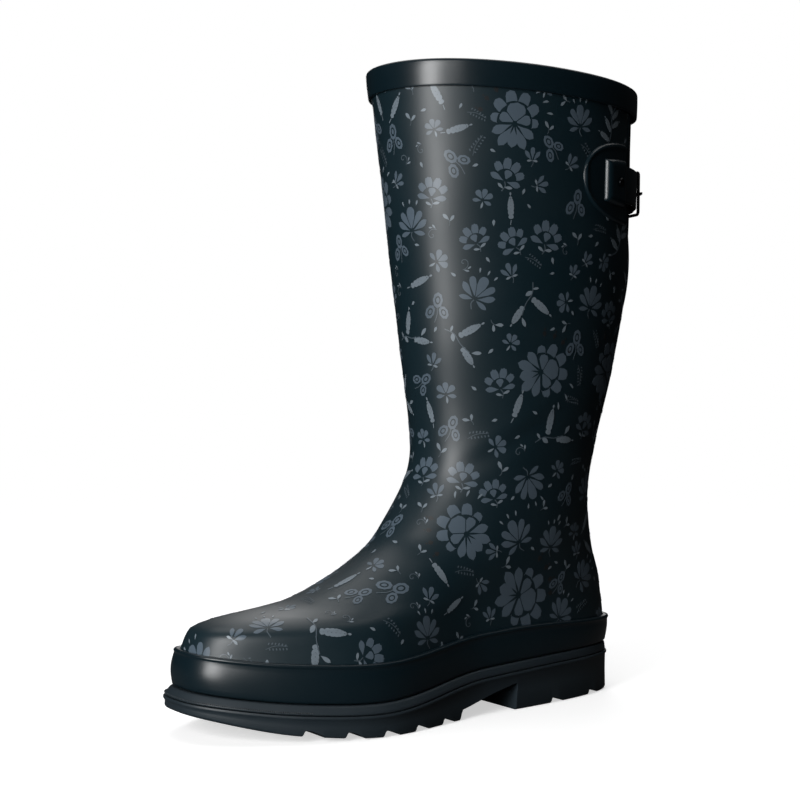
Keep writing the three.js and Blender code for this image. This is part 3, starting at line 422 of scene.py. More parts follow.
def mesh_piece(name: str, points: Array, faces: list, sharp: float = 35.0, weld: float = 1e-6) -> Piece:
    """A smooth-shaded closed object from points in metres and faces."""
    mesh = bpy.data.meshes.new(name)
    mesh.from_pydata(points.tolist(), [], [tuple(f) for f in faces])
    tidy = bmesh.new()
    tidy.from_mesh(mesh)
    bmesh.ops.remove_doubles(tidy, verts=tidy.verts, dist=weld)
    bmesh.ops.dissolve_degenerate(tidy, dist=weld, edges=tidy.edges)
    bmesh.ops.recalc_face_normals(tidy, faces=tidy.faces)
    tidy.to_mesh(mesh)
    tidy.free()
    piece = bpy.data.objects.new(name, mesh)
    bpy.context.scene.collection.objects.link(piece)
    shade(piece, sharp)
    return piece


def ring_piece(name: str, rows: list[Array], sharp: float = 35.0) -> Piece:
    """A closed ring round the boot from rows of points."""
    draft = Draft()
    draft.grid(np.stack(rows), wrap_rows=True, wrap_columns=True)
    return draft.piece(name, sharp)


def tube_piece(name: str, sections: list | Array, sharp: float = 35.0, closed: bool = False) -> Piece:
    """A tube through sections."""
    draft = Draft()
    draft.tube(np.array(sections), closed)
    return draft.piece(name, sharp)


def slab_piece(name: str, outer: list, inner: list, sharp: float) -> Piece:
    """A sheet with thickness from two grids of points."""
    draft = Draft()
    draft.slab(np.array(outer), np.array(inner))
    return draft.piece(name, sharp)


def shade(piece: Piece, sharp: float) -> None:
    """Smooth shading with crisp edges where faces turn by more than sharp degrees."""
    piece.data.shade_smooth()
    piece.data.set_sharp_from_angle(angle=math.radians(sharp))


def applied(piece: Piece) -> Piece:
    """Turns a piece and its modifiers into a plain mesh."""
    graph = bpy.context.evaluated_depsgraph_get()
    mesh = bpy.data.meshes.new_from_object(piece.evaluated_get(graph))
    piece.modifiers.clear()
    piece.data = mesh
    return piece


def carve(piece: Piece, cutters: list[Piece], sharp: float = 35.0) -> None:
    """Takes the cutters away from a piece, and removes them."""
    for cutter in cutters:
        modifier = piece.modifiers.new("cut", "BOOLEAN")
        modifier.operation = "DIFFERENCE"
        modifier.solver = "EXACT"
        modifier.object = cutter
    applied(piece)
    for cutter in cutters:
        bpy.data.objects.remove(cutter)
    shade(piece, sharp)


def stand(piece: Piece, finish: "Finish", body: str, *nodes: str) -> Piece:
    """Dresses a piece, seats it on a body and hides the CAD nodes that it stands for."""
    piece.data.materials.clear()
    piece.data.materials.append(finish.material())
    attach(piece, body)
    if nodes:
        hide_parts(*nodes)
    LOG.info("%s: %d faces on %s", piece.name, len(piece.data.polygons), body)
    return piece


# ---- Node trees ---------------------------------------------------------------------------------


class Tree:
    """A node tree that is built by name."""

    def __init__(self, tree: NodeTree) -> None:
        """Wraps a tree.

        Args:
            tree: the tree to build in.
        """
        self.tree = tree

    def socket(self, name: str, kind: str, output: bool = False, default: object = None) -> None:
        """Adds a named input or output to the tree's interface."""
        side = "OUTPUT" if output else "INPUT"
        made = self.tree.interface.new_socket(name=name, in_out=side, socket_type=f"NodeSocket{kind}")
        if default is not None:
            made.default_value = default

    def node(self, kind: str, inputs: dict | None = None, **settings: object) -> Node:
        """Adds a node.

        Args:
            kind: Blender's name for its type.
            inputs: socket name or number to a value, or to a socket that it is linked from.
            settings: the node's own properties.

        Returns:
            The node.
        """
        made = self.tree.nodes.new(kind)
        for key, value in settings.items():
            setattr(made, key, value)
        for key, value in (inputs or {}).items():
            target = made.inputs[key]
            if isinstance(value, Socket):
                self.tree.links.new(value, target)
            else:
                target.default_value = value
        return made

    def link(self, source: Socket, target: Socket) -> None:
        """Joins an output to an input."""
        self.tree.links.new(source, target)

    def maths(self, operation: str, *values: object) -> Socket:
        """The result of a sum on numbers or sockets."""
        inputs = dict(enumerate(values))
        return self.node("ShaderNodeMath", inputs, operation=operation).outputs[0]

    def vector(self, operation: str, *values: object, scale: object = None) -> Node:
        """A node that works on vectors."""
        inputs: dict = dict(enumerate(values))
        if scale is not None:
            inputs["Scale"] = scale
        return self.node("ShaderNodeVectorMath", inputs, operation=operation)

    def mix(self, share: Socket, low: object, high: object) -> Socket:
        """A colour that share takes from low to high, which are colours or sockets."""
        return self.node("ShaderNodeMix", {0: share, 6: low, 7: high}, data_type="RGBA").outputs[2]


def geometry_tree(name: str, sockets: list[tuple[str, str, object]]) -> tuple[Tree, Node, Node]:
    """An empty Geometry Nodes tree.

    Args:
        name: the tree's name.
        sockets: name, kind and default of each input after the geometry.

    Returns:
        The tree, its input node and its output node.
    """
    data = bpy.data.node_groups.new(name, "GeometryNodeTree")
    tree = Tree(data)
    tree.socket("Geometry", "Geometry")
    for label, kind, default in sockets:
        tree.socket(label, kind, default=default)
    tree.socket("Geometry", "Geometry", output=True)
    return tree, tree.node("NodeGroupInput"), tree.node("NodeGroupOutput")


def run_tree(piece: Piece, tree: NodeTree, values: dict[str, object]) -> Piece:
    """Runs a Geometry Nodes tree on a piece with named values, and leaves a plain mesh."""
    modifier = piece.modifiers.new(tree.name, "NODES")
    modifier.node_group = tree
    for item in tree.interface.items_tree:
        if item.item_type == "SOCKET" and item.in_out == "INPUT" and item.name in values:
            modifier[item.identifier] = values[item.name]
    piece.update_tag()
    bpy.context.view_layer.update()
    return applied(piece)


def named(tree: Tree, name: str, kind: str = "FLOAT_VECTOR") -> Socket:
    """A stored attribute's value."""
    node = tree.node("GeometryNodeInputNamedAttribute", {"Name": name}, data_type=kind)
    return next(s for s in node.outputs if s.name == "Attribute" and s.enabled)


def facing(tree: Tree) -> Socket:
    """A rotation that turns a part's z to the attribute out and its x to the attribute across."""
    inputs = {"Primary Axis": named(tree, "out"), "Secondary Axis": named(tree, "across")}
    settings = {"primary_axis": "Z", "secondary_axis": "X"}
    return tree.node("FunctionNodeAxesToRotation", inputs, **settings).outputs[0]


def along_path_tree() -> NodeTree:
    """A tree that repeats a part along a path at an even spacing."""
    sockets = [
        ("Part", "Object", None), ("Spacing", "Float", 0.002), ("Size", "Float", 1.0),
        ("Finish", "Material", None)
    ]
    tree, given, out = geometry_tree("repeat_along_path", sockets)
    curve = tree.node("GeometryNodeMeshToCurve", {"Mesh": given.outputs["Geometry"]})
    even = tree.node("GeometryNodeResampleCurve", mode="LENGTH")
    tree.link(curve.outputs[0], even.inputs["Curve"])
    tree.link(given.outputs["Spacing"], even.inputs["Length"])
    part = tree.node("GeometryNodeObjectInfo", {"Object": given.outputs["Part"]})
    spread = tree.node("GeometryNodeInstanceOnPoints", {
        "Points": even.outputs[0], "Instance": part.outputs["Geometry"],
        "Rotation": facing(tree), "Scale": given.outputs["Size"],
    })
    real = tree.node("GeometryNodeRealizeInstances", {"Geometry": spread.outputs[0]})
    done = tree.node(
        "GeometryNodeSetMaterial", {"Geometry": real.outputs[0], "Material": given.outputs["Finish"]}
    )
    tree.link(done.outputs[0], out.inputs[0])
    return tree.tree


def print_tree() -> NodeTree:
    """A tree that lays flat motifs on a curved wall: one at each point, cast onto the wall's surface."""
    sockets = [
        ("Motifs", "Collection", None), ("Wall", "Object", None), ("Reach", "Float", 0.018),
        ("Lift", "Float", 0.0001), ("Least Facing", "Float", 0.35), ("Finish", "Material", None),
    ]
    tree, given, out = geometry_tree("print_on_wall", sockets)
    motifs = tree.node("GeometryNodeCollectionInfo", {
        "Collection": given.outputs["Motifs"], "Separate Children": True, "Reset Children": True,
    })
    spread = tree.node("GeometryNodeInstanceOnPoints", {
        "Points": given.outputs["Geometry"], "Instance": motifs.outputs[0], "Pick Instance": True,
        "Instance Index": named(tree, "kind", "INT"), "Rotation": facing(tree),
        "Scale": named(tree, "size", "FLOAT"),
    })
    real = tree.node("GeometryNodeRealizeInstances", {"Geometry": spread.outputs[0]})
    wall = tree.node("GeometryNodeObjectInfo", {"Object": given.outputs["Wall"]})
    direction = named(tree, "out")
    raised = tree.vector("SCALE", direction, scale=given.outputs["Reach"])
    place = tree.node("GeometryNodeInputPosition")
    start = tree.vector("ADD", place.outputs[0], raised.outputs[0])
    down = tree.vector("SCALE", direction, scale=-1.0)
    cast = tree.node("GeometryNodeRaycast", {
        "Target Geometry": wall.outputs["Geometry"], "Source Position": start.outputs[0],
        "Ray Direction": down.outputs[0], "Ray Length": tree.maths("MULTIPLY", given.outputs["Reach"], 2.0),
    })
    lift = tree.vector("SCALE", cast.outputs["Hit Normal"], scale=given.outputs["Lift"])
    landed = tree.vector("ADD", cast.outputs["Hit Position"], lift.outputs[0])
    level = tree.vector("DOT_PRODUCT", cast.outputs["Hit Normal"], direction)
    seen = tree.maths("GREATER_THAN", level.outputs["Value"], given.outputs["Least Facing"])
    kept = tree.maths("MULTIPLY", seen, cast.outputs["Is Hit"])
    lost = tree.maths("LESS_THAN", kept, 0.5)
    mark = tree.node(
        "GeometryNodeStoreNamedAttribute", {"Geometry": real.outputs[0], "Name": "lost"}, data_type="FLOAT",
        domain="POINT"
    )
    tree.link(lost, next(s for s in mark.inputs if s.name == "Value" and s.enabled))
    laid = tree.node("GeometryNodeSetPosition", {"Geometry": mark.outputs[0], "Position": landed.outputs[0]})
    gone = tree.maths("GREATER_THAN", named(tree, "lost", "FLOAT"), 0.5)
    trimmed = tree.node(
        "GeometryNodeDeleteGeometry", {"Geometry": laid.outputs[0], "Selection": gone}, domain="POINT"
    )
    done = tree.node(
        "GeometryNodeSetMaterial", {"Geometry": trimmed.outputs[0], "Material": given.outputs["Finish"]}
    )
    tree.link(done.outputs[0], out.inputs[0])
    return tree.tree


# ---- Finishes -----------------------------------------------------------------------------------


def shader_group(name: str, inputs: list[tuple[str, str, object]], outputs: list[tuple[str, str]]) -> Tree:
    """An empty shader node group with named sockets."""
    tree = Tree(bpy.data.node_groups.new(name, "ShaderNodeTree"))
    for label, kind, default in inputs:
        tree.socket(label, kind, default=default)
    for label, kind in outputs:
        tree.socket(label, kind, output=True)
    return tree


def moulded_skin_group() -> NodeTree:
    """Mottling, gloss change, dust and grain of moulded or dipped rubber."""
    tree = shader_group(
        "moulded_skin",
        [("Tone", "Color", (0.01, 0.02, 0.025, 1)), ("Bloom", "Color", (0.05, 0.06, 0.065, 1)),
         ("Bloom Amount", "Float", 0.1), ("Gloss", "Float", 0.4), ("Gloss Change", "Float", 0.05),
         ("Cloud Scale", "Float", 30.0), ("Grain Scale", "Float", 1500.0), ("Ripple Scale", "Float", 45.0),
         ("Ripple", "Float", 0.0)],
        [("Color", "Color"), ("Roughness", "Float"), ("Height", "Float")],
    )
    given, out = tree.node("NodeGroupInput"), tree.node("NodeGroupOutput")
    place = tree.node("ShaderNodeTexCoord").outputs["Object"]
    clouds = tree.node(
        "ShaderNodeTexNoise",
        {"Vector": place, "Scale": given.outputs["Cloud Scale"], "Detail": 4.0, "Roughness": 0.6}
    )
    cloud = tree.node("ShaderNodeMapRange", {"Value": clouds.outputs[0], "From Min": 0.35, "From Max": 0.72})
    top = tree.node("ShaderNodeNewGeometry").outputs["Normal"]
    upward = tree.node("ShaderNodeSeparateXYZ", {0: top}).outputs["Z"]
    settled = tree.node(
        "ShaderNodeMapRange",
        {"Value": upward, "From Min": -0.2, "From Max": 1.0, "To Min": 0.35, "To Max": 1.0}
    )
    amount = tree.maths(
        "MULTIPLY", tree.maths("MULTIPLY", cloud.outputs[0], settled.outputs[0]),
        given.outputs["Bloom Amount"]
    )
    tree.link(tree.mix(amount, given.outputs["Tone"], given.outputs["Bloom"]), out.inputs["Color"])
    spread = tree.maths(
        "MULTIPLY_ADD", tree.maths("SUBTRACT", clouds.outputs[0], 0.5), given.outputs["Gloss Change"],
        given.outputs["Gloss"]
    )
    tree.link(spread, out.inputs["Roughness"])
    grain = tree.node(
        "ShaderNodeTexNoise", {"Vector": place, "Scale": given.outputs["Grain Scale"], "Detail": 3.0}
    )
    ripple = tree.node(
        "ShaderNodeTexNoise", {"Vector": place, "Scale": given.outputs["Ripple Scale"], "Detail": 1.0}
    )
    height = tree.maths("MULTIPLY_ADD", ripple.outputs[0], given.outputs["Ripple"], grain.outputs[0])
    tree.link(height, out.inputs["Height"])
    return tree.tree


def knit_group() -> NodeTree:
    """Rows of small knitted loops, with fluff between them."""
    tree = shader_group(
        "knit", [
            ("Dark", "Color", (0.01, 0.011, 0.012, 1)), ("Light", "Color", (0.04, 0.043, 0.046, 1)),
            ("Rows", "Float", 2600.0)
        ],
        [("Color", "Color"), ("Height", "Float")],
    )
    given, out = tree.node("NodeGroupInput"), tree.node("NodeGroupOutput")
    place = tree.node("ShaderNodeTexCoord").outputs["Object"]
    parts = tree.node("ShaderNodeSeparateXYZ", {0: place})
    rows = tree.maths("SINE", tree.maths("MULTIPLY", parts.outputs["Z"], given.outputs["Rows"]))
    slant = tree.maths("ADD", parts.outputs["X"], parts.outputs["Y"])
    loops = tree.maths("SINE", tree.maths("MULTIPLY", slant, given.outputs["Rows"]))
    knit = tree.maths("MULTIPLY_ADD", tree.maths("MULTIPLY", rows, loops), 0.5, 0.5)
    fluff = tree.node("ShaderNodeTexNoise", {"Vector": place, "Scale": 900.0, "Detail": 4.0})
    blend = tree.maths("MULTIPLY", knit, fluff.outputs[0])
    tree.link(tree.mix(blend, given.outputs["Dark"], given.outputs["Light"]), out.inputs["Color"])
    tree.link(blend, out.inputs["Height"])
    return tree.tree


GROUPS: dict[str, NodeTree] = {}
MATERIALS: dict[str, Material] = {}


def group(name: str) -> NodeTree:
    """A shared node group, built the first time that it is asked for."""
    makers: dict[str, Callable[[], NodeTree]] = {
        "moulded_skin": moulded_skin_group, "knit": knit_group,
        "repeat_along_path": along_path_tree, "print_on_wall": print_tree,
    }
    if name not in GROUPS:
        GROUPS[name] = makers[name]()
    return GROUPS[name]


@dataclass(frozen=True)
class Finish:
    """What every finish has: a name, the record's slot, a tone and a gloss."""

    name: str
    slot: str
    tone: Triple
    gloss: float = 0.4

    def material(self) -> Material:
        """The finish's material, built once."""
        if self.name not in MATERIALS:
            MATERIALS[self.name] = self.build()
        return MATERIALS[self.name]

    def start(self) -> tuple[Material, Tree, Node]:
        """A material with its shader, ready for a finish's own nodes."""
        material = bpy.data.materials.new(self.name)
        material.use_nodes = True
        material.diffuse_color = (*self.tone, 1.0)
        tree = Tree(material.node_tree)
        shader = next(n for n in material.node_tree.nodes if n.type == "BSDF_PRINCIPLED")
        return material, tree, shader

    def moulded(self, values: dict[str, object], depth: float) -> tuple[Material, Node]:
        """A material whose colour, gloss and grain come from the moulded_skin group.

        Args:
            values: the group's inputs by name.
            depth: the grain's height in millimetres.

        Returns:
            The material and its shader.
        """
        material, tree, shader = self.start()
        skin = tree.node("ShaderNodeGroup", node_tree=group("moulded_skin"))
        for key, value in values.items():
            skin.inputs[key].default_value = value
        bump = tree.node("ShaderNodeBump", {"Height": skin.outputs["Height"], "Distance": depth * MM})
        tree.link(skin.outputs["Color"], shader.inputs["Base Color"])
        tree.link(skin.outputs["Roughness"], shader.inputs["Roughness"])
        tree.link(bump.outputs[0], shader.inputs["Normal"])
        return material, shader

    def build(self) -> Material:
        """Makes the material."""
        raise NotImplementedError


@dataclass(frozen=True)
class RubberFinish(Finish):
    """Moulded or dipped rubber."""

    bloom: Triple = (0.05, 0.062, 0.07)
    bloom_amount: float = 0.12
    gloss_change: float = 0.08
    cloud_scale: float = 28.0
    grain_scale: float = 1400.0
    grain_depth: float = 0.012
    ripple_scale: float = 40.0
    ripple: float = 0.0

    def build(self) -> Material:
        """Makes the material."""
        values = {
            "Tone": (*self.tone, 1), "Bloom": (*self.bloom, 1), "Bloom Amount": self.bloom_amount,
            "Gloss": self.gloss, "Gloss Change": self.gloss_change, "Cloud Scale": self.cloud_scale,
            "Grain Scale": self.grain_scale, "Ripple Scale": self.ripple_scale, "Ripple": self.ripple,
        }
        return self.moulded(values, self.grain_depth)[0]


@dataclass(frozen=True)
class KnitFinish(Finish):
    """Knitted cloth."""

    light: Triple = (0.05, 0.053, 0.057)
    rows: float = 2600.0
    depth: float = 0.25

    def build(self) -> Material:
        """Makes the material."""
        material, tree, shader = self.start()
        knit = tree.node("ShaderNodeGroup", node_tree=group("knit"))
        knit.inputs["Dark"].default_value = (*self.tone, 1)
        knit.inputs["Light"].default_value = (*self.light, 1)
        knit.inputs["Rows"].default_value = self.rows
        bump = tree.node("ShaderNodeBump", {"Height": knit.outputs["Height"], "Distance": self.depth * MM})
        tree.link(knit.outputs["Color"], shader.inputs["Base Color"])
        tree.link(bump.outputs[0], shader.inputs["Normal"])
        shader.inputs["Roughness"].default_value = self.gloss
        shader.inputs["Sheen Weight"].default_value = 0.25
        shader.inputs["Sheen Roughness"].default_value = 0.5
        return material


@dataclass(frozen=True)
class MetalFinish(Finish):
    """Plated or blackened metal, rubbed a little brighter in places."""

    worn: Triple = (0.2, 0.2, 0.2)
    wear: float = 0.2
    grain_depth: float = 0.01

    def build(self) -> Material:
        """Makes the material."""
        values = {
            "Tone": (*self.tone, 1), "Bloom": (*self.worn, 1), "Bloom Amount": self.wear, "Gloss": self.gloss,
            "Gloss Change": 0.2, "Cloud Scale": 260.0, "Grain Scale": 3200.0,
        }
        material, shader = self.moulded(values, self.grain_depth)
        shader.inputs["Metallic"].default_value = 1.0
        return material


@dataclass(frozen=True)
class PlainFibre(Finish):
    """Pressed board or foam with specks in it."""

    speck: Triple = (0.2, 0.17, 0.12)
    grain: float = 600.0

    def build(self) -> Material:
        """Makes the material."""
        material, tree, shader = self.start()
        place = tree.node("ShaderNodeTexCoord").outputs["Object"]
        cells = tree.node("ShaderNodeTexNoise", {"Vector": place, "Scale": self.grain, "Detail": 5.0})
        mixed = tree.mix(cells.outputs[0], (*self.tone, 1), (*self.speck, 1))
        bump = tree.node("ShaderNodeBump", {"Height": cells.outputs[0], "Distance": 0.1 * MM})
        tree.link(mixed, shader.inputs["Base Color"])
        tree.link(bump.outputs[0], shader.inputs["Normal"])
        shader.inputs["Roughness"].default_value = self.gloss
        return material


TEAL = (0.0040, 0.0142, 0.0200)
PRINTED_RUBBER = RubberFinish("wall_rubber", "printed_rubber", TEAL, 0.42, ripple=1.2, ripple_scale=26.0)
PRINT_LIGHT = RubberFinish(
    "print_light", "printed_rubber", (0.072, 0.100, 0.128), 0.4, bloom=(0.05, 0.07, 0.09), bloom_amount=0.5
)
PRINT_PALE = RubberFinish(
    "print_pale", "printed_rubber", (0.150, 0.185, 0.215), 0.4, bloom=(0.10, 0.13, 0.16), bloom_amount=0.5
)
PRINT_MID = RubberFinish("print_mid", "printed_rubber", (0.060, 0.082, 0.100), 0.4)
PRINT_DARK = RubberFinish("print_dark", "printed_rubber", (0.0115, 0.0125, 0.0135), 0.45, bloom_amount=0.05)
GLOSS_RUBBER = RubberFinish(
    "band_rubber", "gloss_rubber", (0.0030, 0.0098, 0.0142), 0.3, bloom_amount=0.05, ripple=1.0
)
SOLE_RUBBER = RubberFinish("tread_rubber", "sole_rubber", (0.0125, 0.0205, 0.0270), 0.5, bloom_amount=0.2)
GUSSET_RUBBER = RubberFinish(
    "panel_rubber", "gusset_rubber", (0.0035, 0.0045, 0.0052), 0.55, bloom_amount=0.08
)
BLACK_METAL = MetalFinish("buckle_metal", "black_metal", (0.012, 0.013, 0.015), 0.36)
SPRING_STEEL = MetalFinish("shank_steel", "spring_steel", (0.42, 0.43, 0.44), 0.3)
LINING_KNIT = KnitFinish("leg_knit", "lining_knit", (0.010, 0.011, 0.012), 0.95)
FOOTBED_KNIT = KnitFinish("pad_knit", "footbed_knit", (0.012, 0.013, 0.014), 0.95, rows=1900.0)
EVA_FOAM = PlainFibre("sole_foam", "eva_foam", (0.045, 0.05, 0.053), 0.9, speck=(0.02, 0.022, 0.024))
FIBRE_BOARD = PlainFibre("pressed_board", "fibre_board", (0.27, 0.2, 0.12), 0.9)


# ---- The upper ----------------------------------------------------------------------------------


@dataclass
class Upper:
    """The rubber wall with the V at its back, the panel behind the V, and the lining."""

    columns: int = 236
    band_columns: int = 220
    row_height: float = 2.4
    margin: float = 12.0
    piping_radius: float = 1.0
    gusset_lap: float = 9.0
    gusset_bulge: float = 1.6

    def relief(self, turn: Array, height: float) -> Array:
        """Soft creases and waves of a boot that has stood on a shelf, in millimetres outwards."""
        turn = np.asarray(turn, float)

        def fold(
                at_turn: float, at_height: float, lean: float, width: float, reach: float, depth: float
        ) -> Array:
            """One soft fold that leans across the wall."""
            across = (turn - at_turn) * FORM.girth(height)
            rise = height - at_height - lean * across
            return depth * np.exp(-((rise / width) ** 2)) * np.exp(-((across / reach) ** 2))

        total = fold(0.33, 126, -0.55, 7.0, 26.0, -0.8) + fold(0.33, 137, -0.55, 7.0, 26.0, 0.45)
        total += fold(0.67, 126, 0.55, 7.0, 26.0, -0.8) + fold(0.67, 137, 0.55, 7.0, 26.0, 0.45)
        total += fold(0.36, 50, 0.1, 6.0, 30.0, -0.5) + fold(0.43, 58, 0.0, 5.0, 24.0, 0.35)
        total += fold(0.60, 52, 0.1, 6.0, 30.0, -0.4)
        total += fold(0.20, 108, 0.3, 9.0, 30.0, -0.5) + fold(0.80, 108, -0.3, 9.0, 30.0, -0.5)
        waves = 0.35 * np.sin(2 * np.pi * (3 * turn + height / 190.0)) * np.sin(2 * np.pi * height / 150.0)
        from_edges = smoothstep(height, 24, 42) * (1 - smoothstep(height, 300, 330))
        return (total + waves) * from_edges

    def levels(self) -> Array:
        """The heights of the wall's rows, close together at the point of the V."""
        even = np.arange(0, FORM.leg_height, self.row_height)
        point = FORM.gusset_bottom + np.array([0.0, 0.3, 0.8, 1.6, 3.0, 4.6])
        levels = np.concatenate([even, point, [FORM.leg_height]])
        return np.unique(np.round(levels[levels <= FORM.leg_height], 3))

    def shell(self) -> Piece:
        """The outer rubber wall."""
        draft = Draft()
        share = np.linspace(0, 1, self.columns)
        grids: list[Array] = []
        levels = self.levels()
        for off in (0.0, -FORM.rubber):
            rows = []
            for h in levels:
                half = float(FORM.opening_at(h))
                start = float(FORM.arc_turn(half, h))
                end = 1 + float(FORM.arc_turn(-half, h)) if half > 0 else 1.0
                turn = lerp(start, end, share)
                rows.append(FORM.skin(turn, max(h, 0.0), off + self.relief(turn, h)))
            grids.append(np.stack(rows))
        outer, inner = grids
        outer_rows, inner_rows = (
            [FORM.foot_rim(share, -reach, height) for reach in (self.margin, self.margin / 2)]
            for height in (0.0, FORM.rubber)
        )
        lowest = int(np.searchsorted(levels, FORM.rubber + 0.2))
        for i in range(lowest):
            inner[i] = FORM.foot_rim(share, -FORM.rubber, FORM.rubber + 0.02 * i)
        outer = np.concatenate([np.stack(outer_rows), outer])
        inner = np.concatenate([np.stack(inner_rows), inner])
        a, b = draft.grid(outer), draft.grid(inner)
        rows, columns = outer.shape[:2]
        for j in range(columns - 1):
            draft.faces.append((a + j, a + j + 1, b + j + 1, b + j))
            top = (rows - 1) * columns + j
            draft.faces.append((a + top, a + top + 1, b + top + 1, b + top))
        for i in range(rows - 1):
            if i >= 2 and levels[i - 2] >= FORM.gusset_bottom - 1e-6:
                for j in (0, columns - 1):
                    low, high = i * columns + j, (i + 1) * columns + j
                    draft.faces.append((a + low, a + high, b + high, b + low))
        piece = draft.piece("upper_shell_skin", sharp=50.0, weld=2e-6)
        return stand(piece, PRINTED_RUBBER, "boot", "upper_shell")

    def gusset(self) -> Piece:
        """The stretch panel behind the V, with soft upright folds."""
        share = np.linspace(-1, 1, 97)
        heights = np.arange(FORM.gusset_bottom - 12, FORM.leg_height - 0.3, 2.5)
        faces: list[list[Array]] = [[], []]
        for h in heights:
            half = float(FORM.opening_at(h))
            along = share * (half + self.gusset_lap)
            inside = np.clip((half - 3 - np.abs(along)) / 20, 0, 1)
            folds = 0.35 * np.cos(along * 2 * np.pi / 15.0 + 0.6 * math.sin(h / 23.0))
            bulge = smoothstep(inside, 0, 1) * (self.gusset_bulge + folds)
            turn = FORM.arc_turn(along, h)
            for side, base in enumerate((Layer.STIFFENER_OUT.value, Layer.STIFFENER_IN.value)):
                faces[side].append(FORM.skin(turn, h, base + bulge))
        return stand(slab_piece("gusset_panel", *faces, 35.0), GUSSET_RUBBER, "boot", "back_gusset")

    def piping(self) -> Piece:
        """The bead along both edges of the V."""
        inset, depth, high = self.piping_radius + 0.7, -0.3, FORM.leg_height - 14
        heights = np.concatenate([
            FORM.gusset_bottom + np.array([5.2, 6.0, 7.0, 8.5, 10.5]),
            np.arange(FORM.gusset_bottom + 13, high, 4.0), [high],
        ])
        sides = {}
        for sign in (1, -1):
            sides[sign] = [
                FORM.skin(
                    FORM.arc_turn(np.array([sign * (float(FORM.opening_at(h)) - inset)]), h), h, depth
                )[0]
                for h in heights
            ]
        foot_h = FORM.gusset_bottom + 4.2
        middle = FORM.skin(np.array([0.0]), foot_h, depth)[0]
        path = np.array(sides[1][::-1] + [middle] + sides[-1])
        bead = tube_piece("gusset_bead", round_tube(smooth_path(path, 3), self.piping_radius, 10))
        return stand(bead, GLOSS_RUBBER, "boot", "gusset_piping")

    def lining(self) -> Piece:
        """The knitted lining, which shows inside the leg."""
        turn = np.arange(150) / 150
        low = FORM.rubber + FORM.gap
        rows = [FORM.foot_rim(turn, -self.margin, low), FORM.foot_rim(turn, Layer.LINING_OUT.value, low)]
        heights = np.concatenate([np.arange(6, FORM.leg_height, 5.0), [FORM.leg_height]])
        rows += [FORM.skin(turn, h, Layer.LINING_OUT.value) for h in heights]
        rows += [FORM.skin(turn, h, Layer.LINING_IN.value) for h in heights[::-1]]
        rows += [
            FORM.foot_rim(turn, Layer.LINING_IN.value, low + 1), FORM.foot_rim(turn, -self.margin, low + 1)
        ]
        return stand(ring_piece("knit_lining", rows), LINING_KNIT, "boot", "sock_lining")

    def binding(self) -> Piece:
        """The band over the top edge."""
        leg, out = FORM.leg_height, FORM.gap + 1.9
        inner_face = Layer.LINING_IN.value - FORM.gap
        inner, crown = inner_face - 1.9, leg + FORM.gap + 1.9
        profile = rounded([
            (leg - 13, FORM.gap, 0.1), (
                leg - 13, out - 0.2, 0.7
            ), (leg - 12.2, out, 0.6), (leg - 5, out + 0.15, 2.0),
            (crown, out, 1.7), (crown, inner, 1.7), (leg - 8, inner, 0.7), (leg - 8, inner_face, 0.1),
            (leg + FORM.gap, inner_face, 0.1), (leg + FORM.gap, FORM.gap, 0.1),
        ])
        turn = np.arange(self.band_columns) / self.band_columns
        band = ring_piece("top_band", [FORM.skin(turn, h, off) for h, off in profile], 60.0)
        return stand(band, GLOSS_RUBBER, "boot", "top_binding")

    def build(self) -> Piece:
        """Makes every piece of the upper and gives the shell, which carries the print."""
        shell = self.shell()
        for make in (self.gusset, self.piping, self.lining, self.binding):
            make()
        return shell


def smooth_path(points: Array, between: int) -> Array:
    """A path through points with extra ones between them, on a Catmull-Rom curve."""
    p = np.concatenate([[2 * points[0] - points[1]], points, [2 * points[-1] - points[-2]]])
    result = []
    for i in range(1, len(p) - 2):
        for k in range(between):
            t = k / between
            result.append(0.5 * (
                2 * p[i] + (p[i + 1] - p[i - 1]) * t
                + (2 * p[i - 1] - 5 * p[i] + 4 * p[i + 1] - p[i + 2]) * t * t
                + (3 * p[i] - p[i - 1] - 3 * p[i + 1] + p[i + 2]) * t ** 3
            ))
    return np.array(result + [points[-1]])


def path_frames(path: Array, closed: bool = False) -> tuple[Array, Array]:
    """Two directions square to a path, carried along it with as little twist as may be."""
    if closed:
        tangent = unit(np.roll(path, -1, axis=0) - np.roll(path, 1, axis=0))
    else:
        tangent = unit(np.gradient(path, axis=0))
    start = np.cross(tangent[0], [0.3, 0.2, 0.9])
    side = [unit(start)]
    for t in tangent[1:]:
        side.append(unit(side[-1] - t * np.dot(side[-1], t)))
    side_array = np.array(side)
    return side_array, np.cross(tangent, side_array)


def round_tube(path: Array, radius: float, sides: int, closed: bool = False) -> Array:
    """Sections of a round tube along a path."""
    a, b = path_frames(path, closed)
    angle = circle(sides)
    ring = np.cos(angle)[None, :, None] * a[:, None] + np.sin(angle)[None, :, None] * b[:, None]
    return path[:, None] + radius * ring


# ---- Foxing, welt and sole ----------------------------------------------------------------------


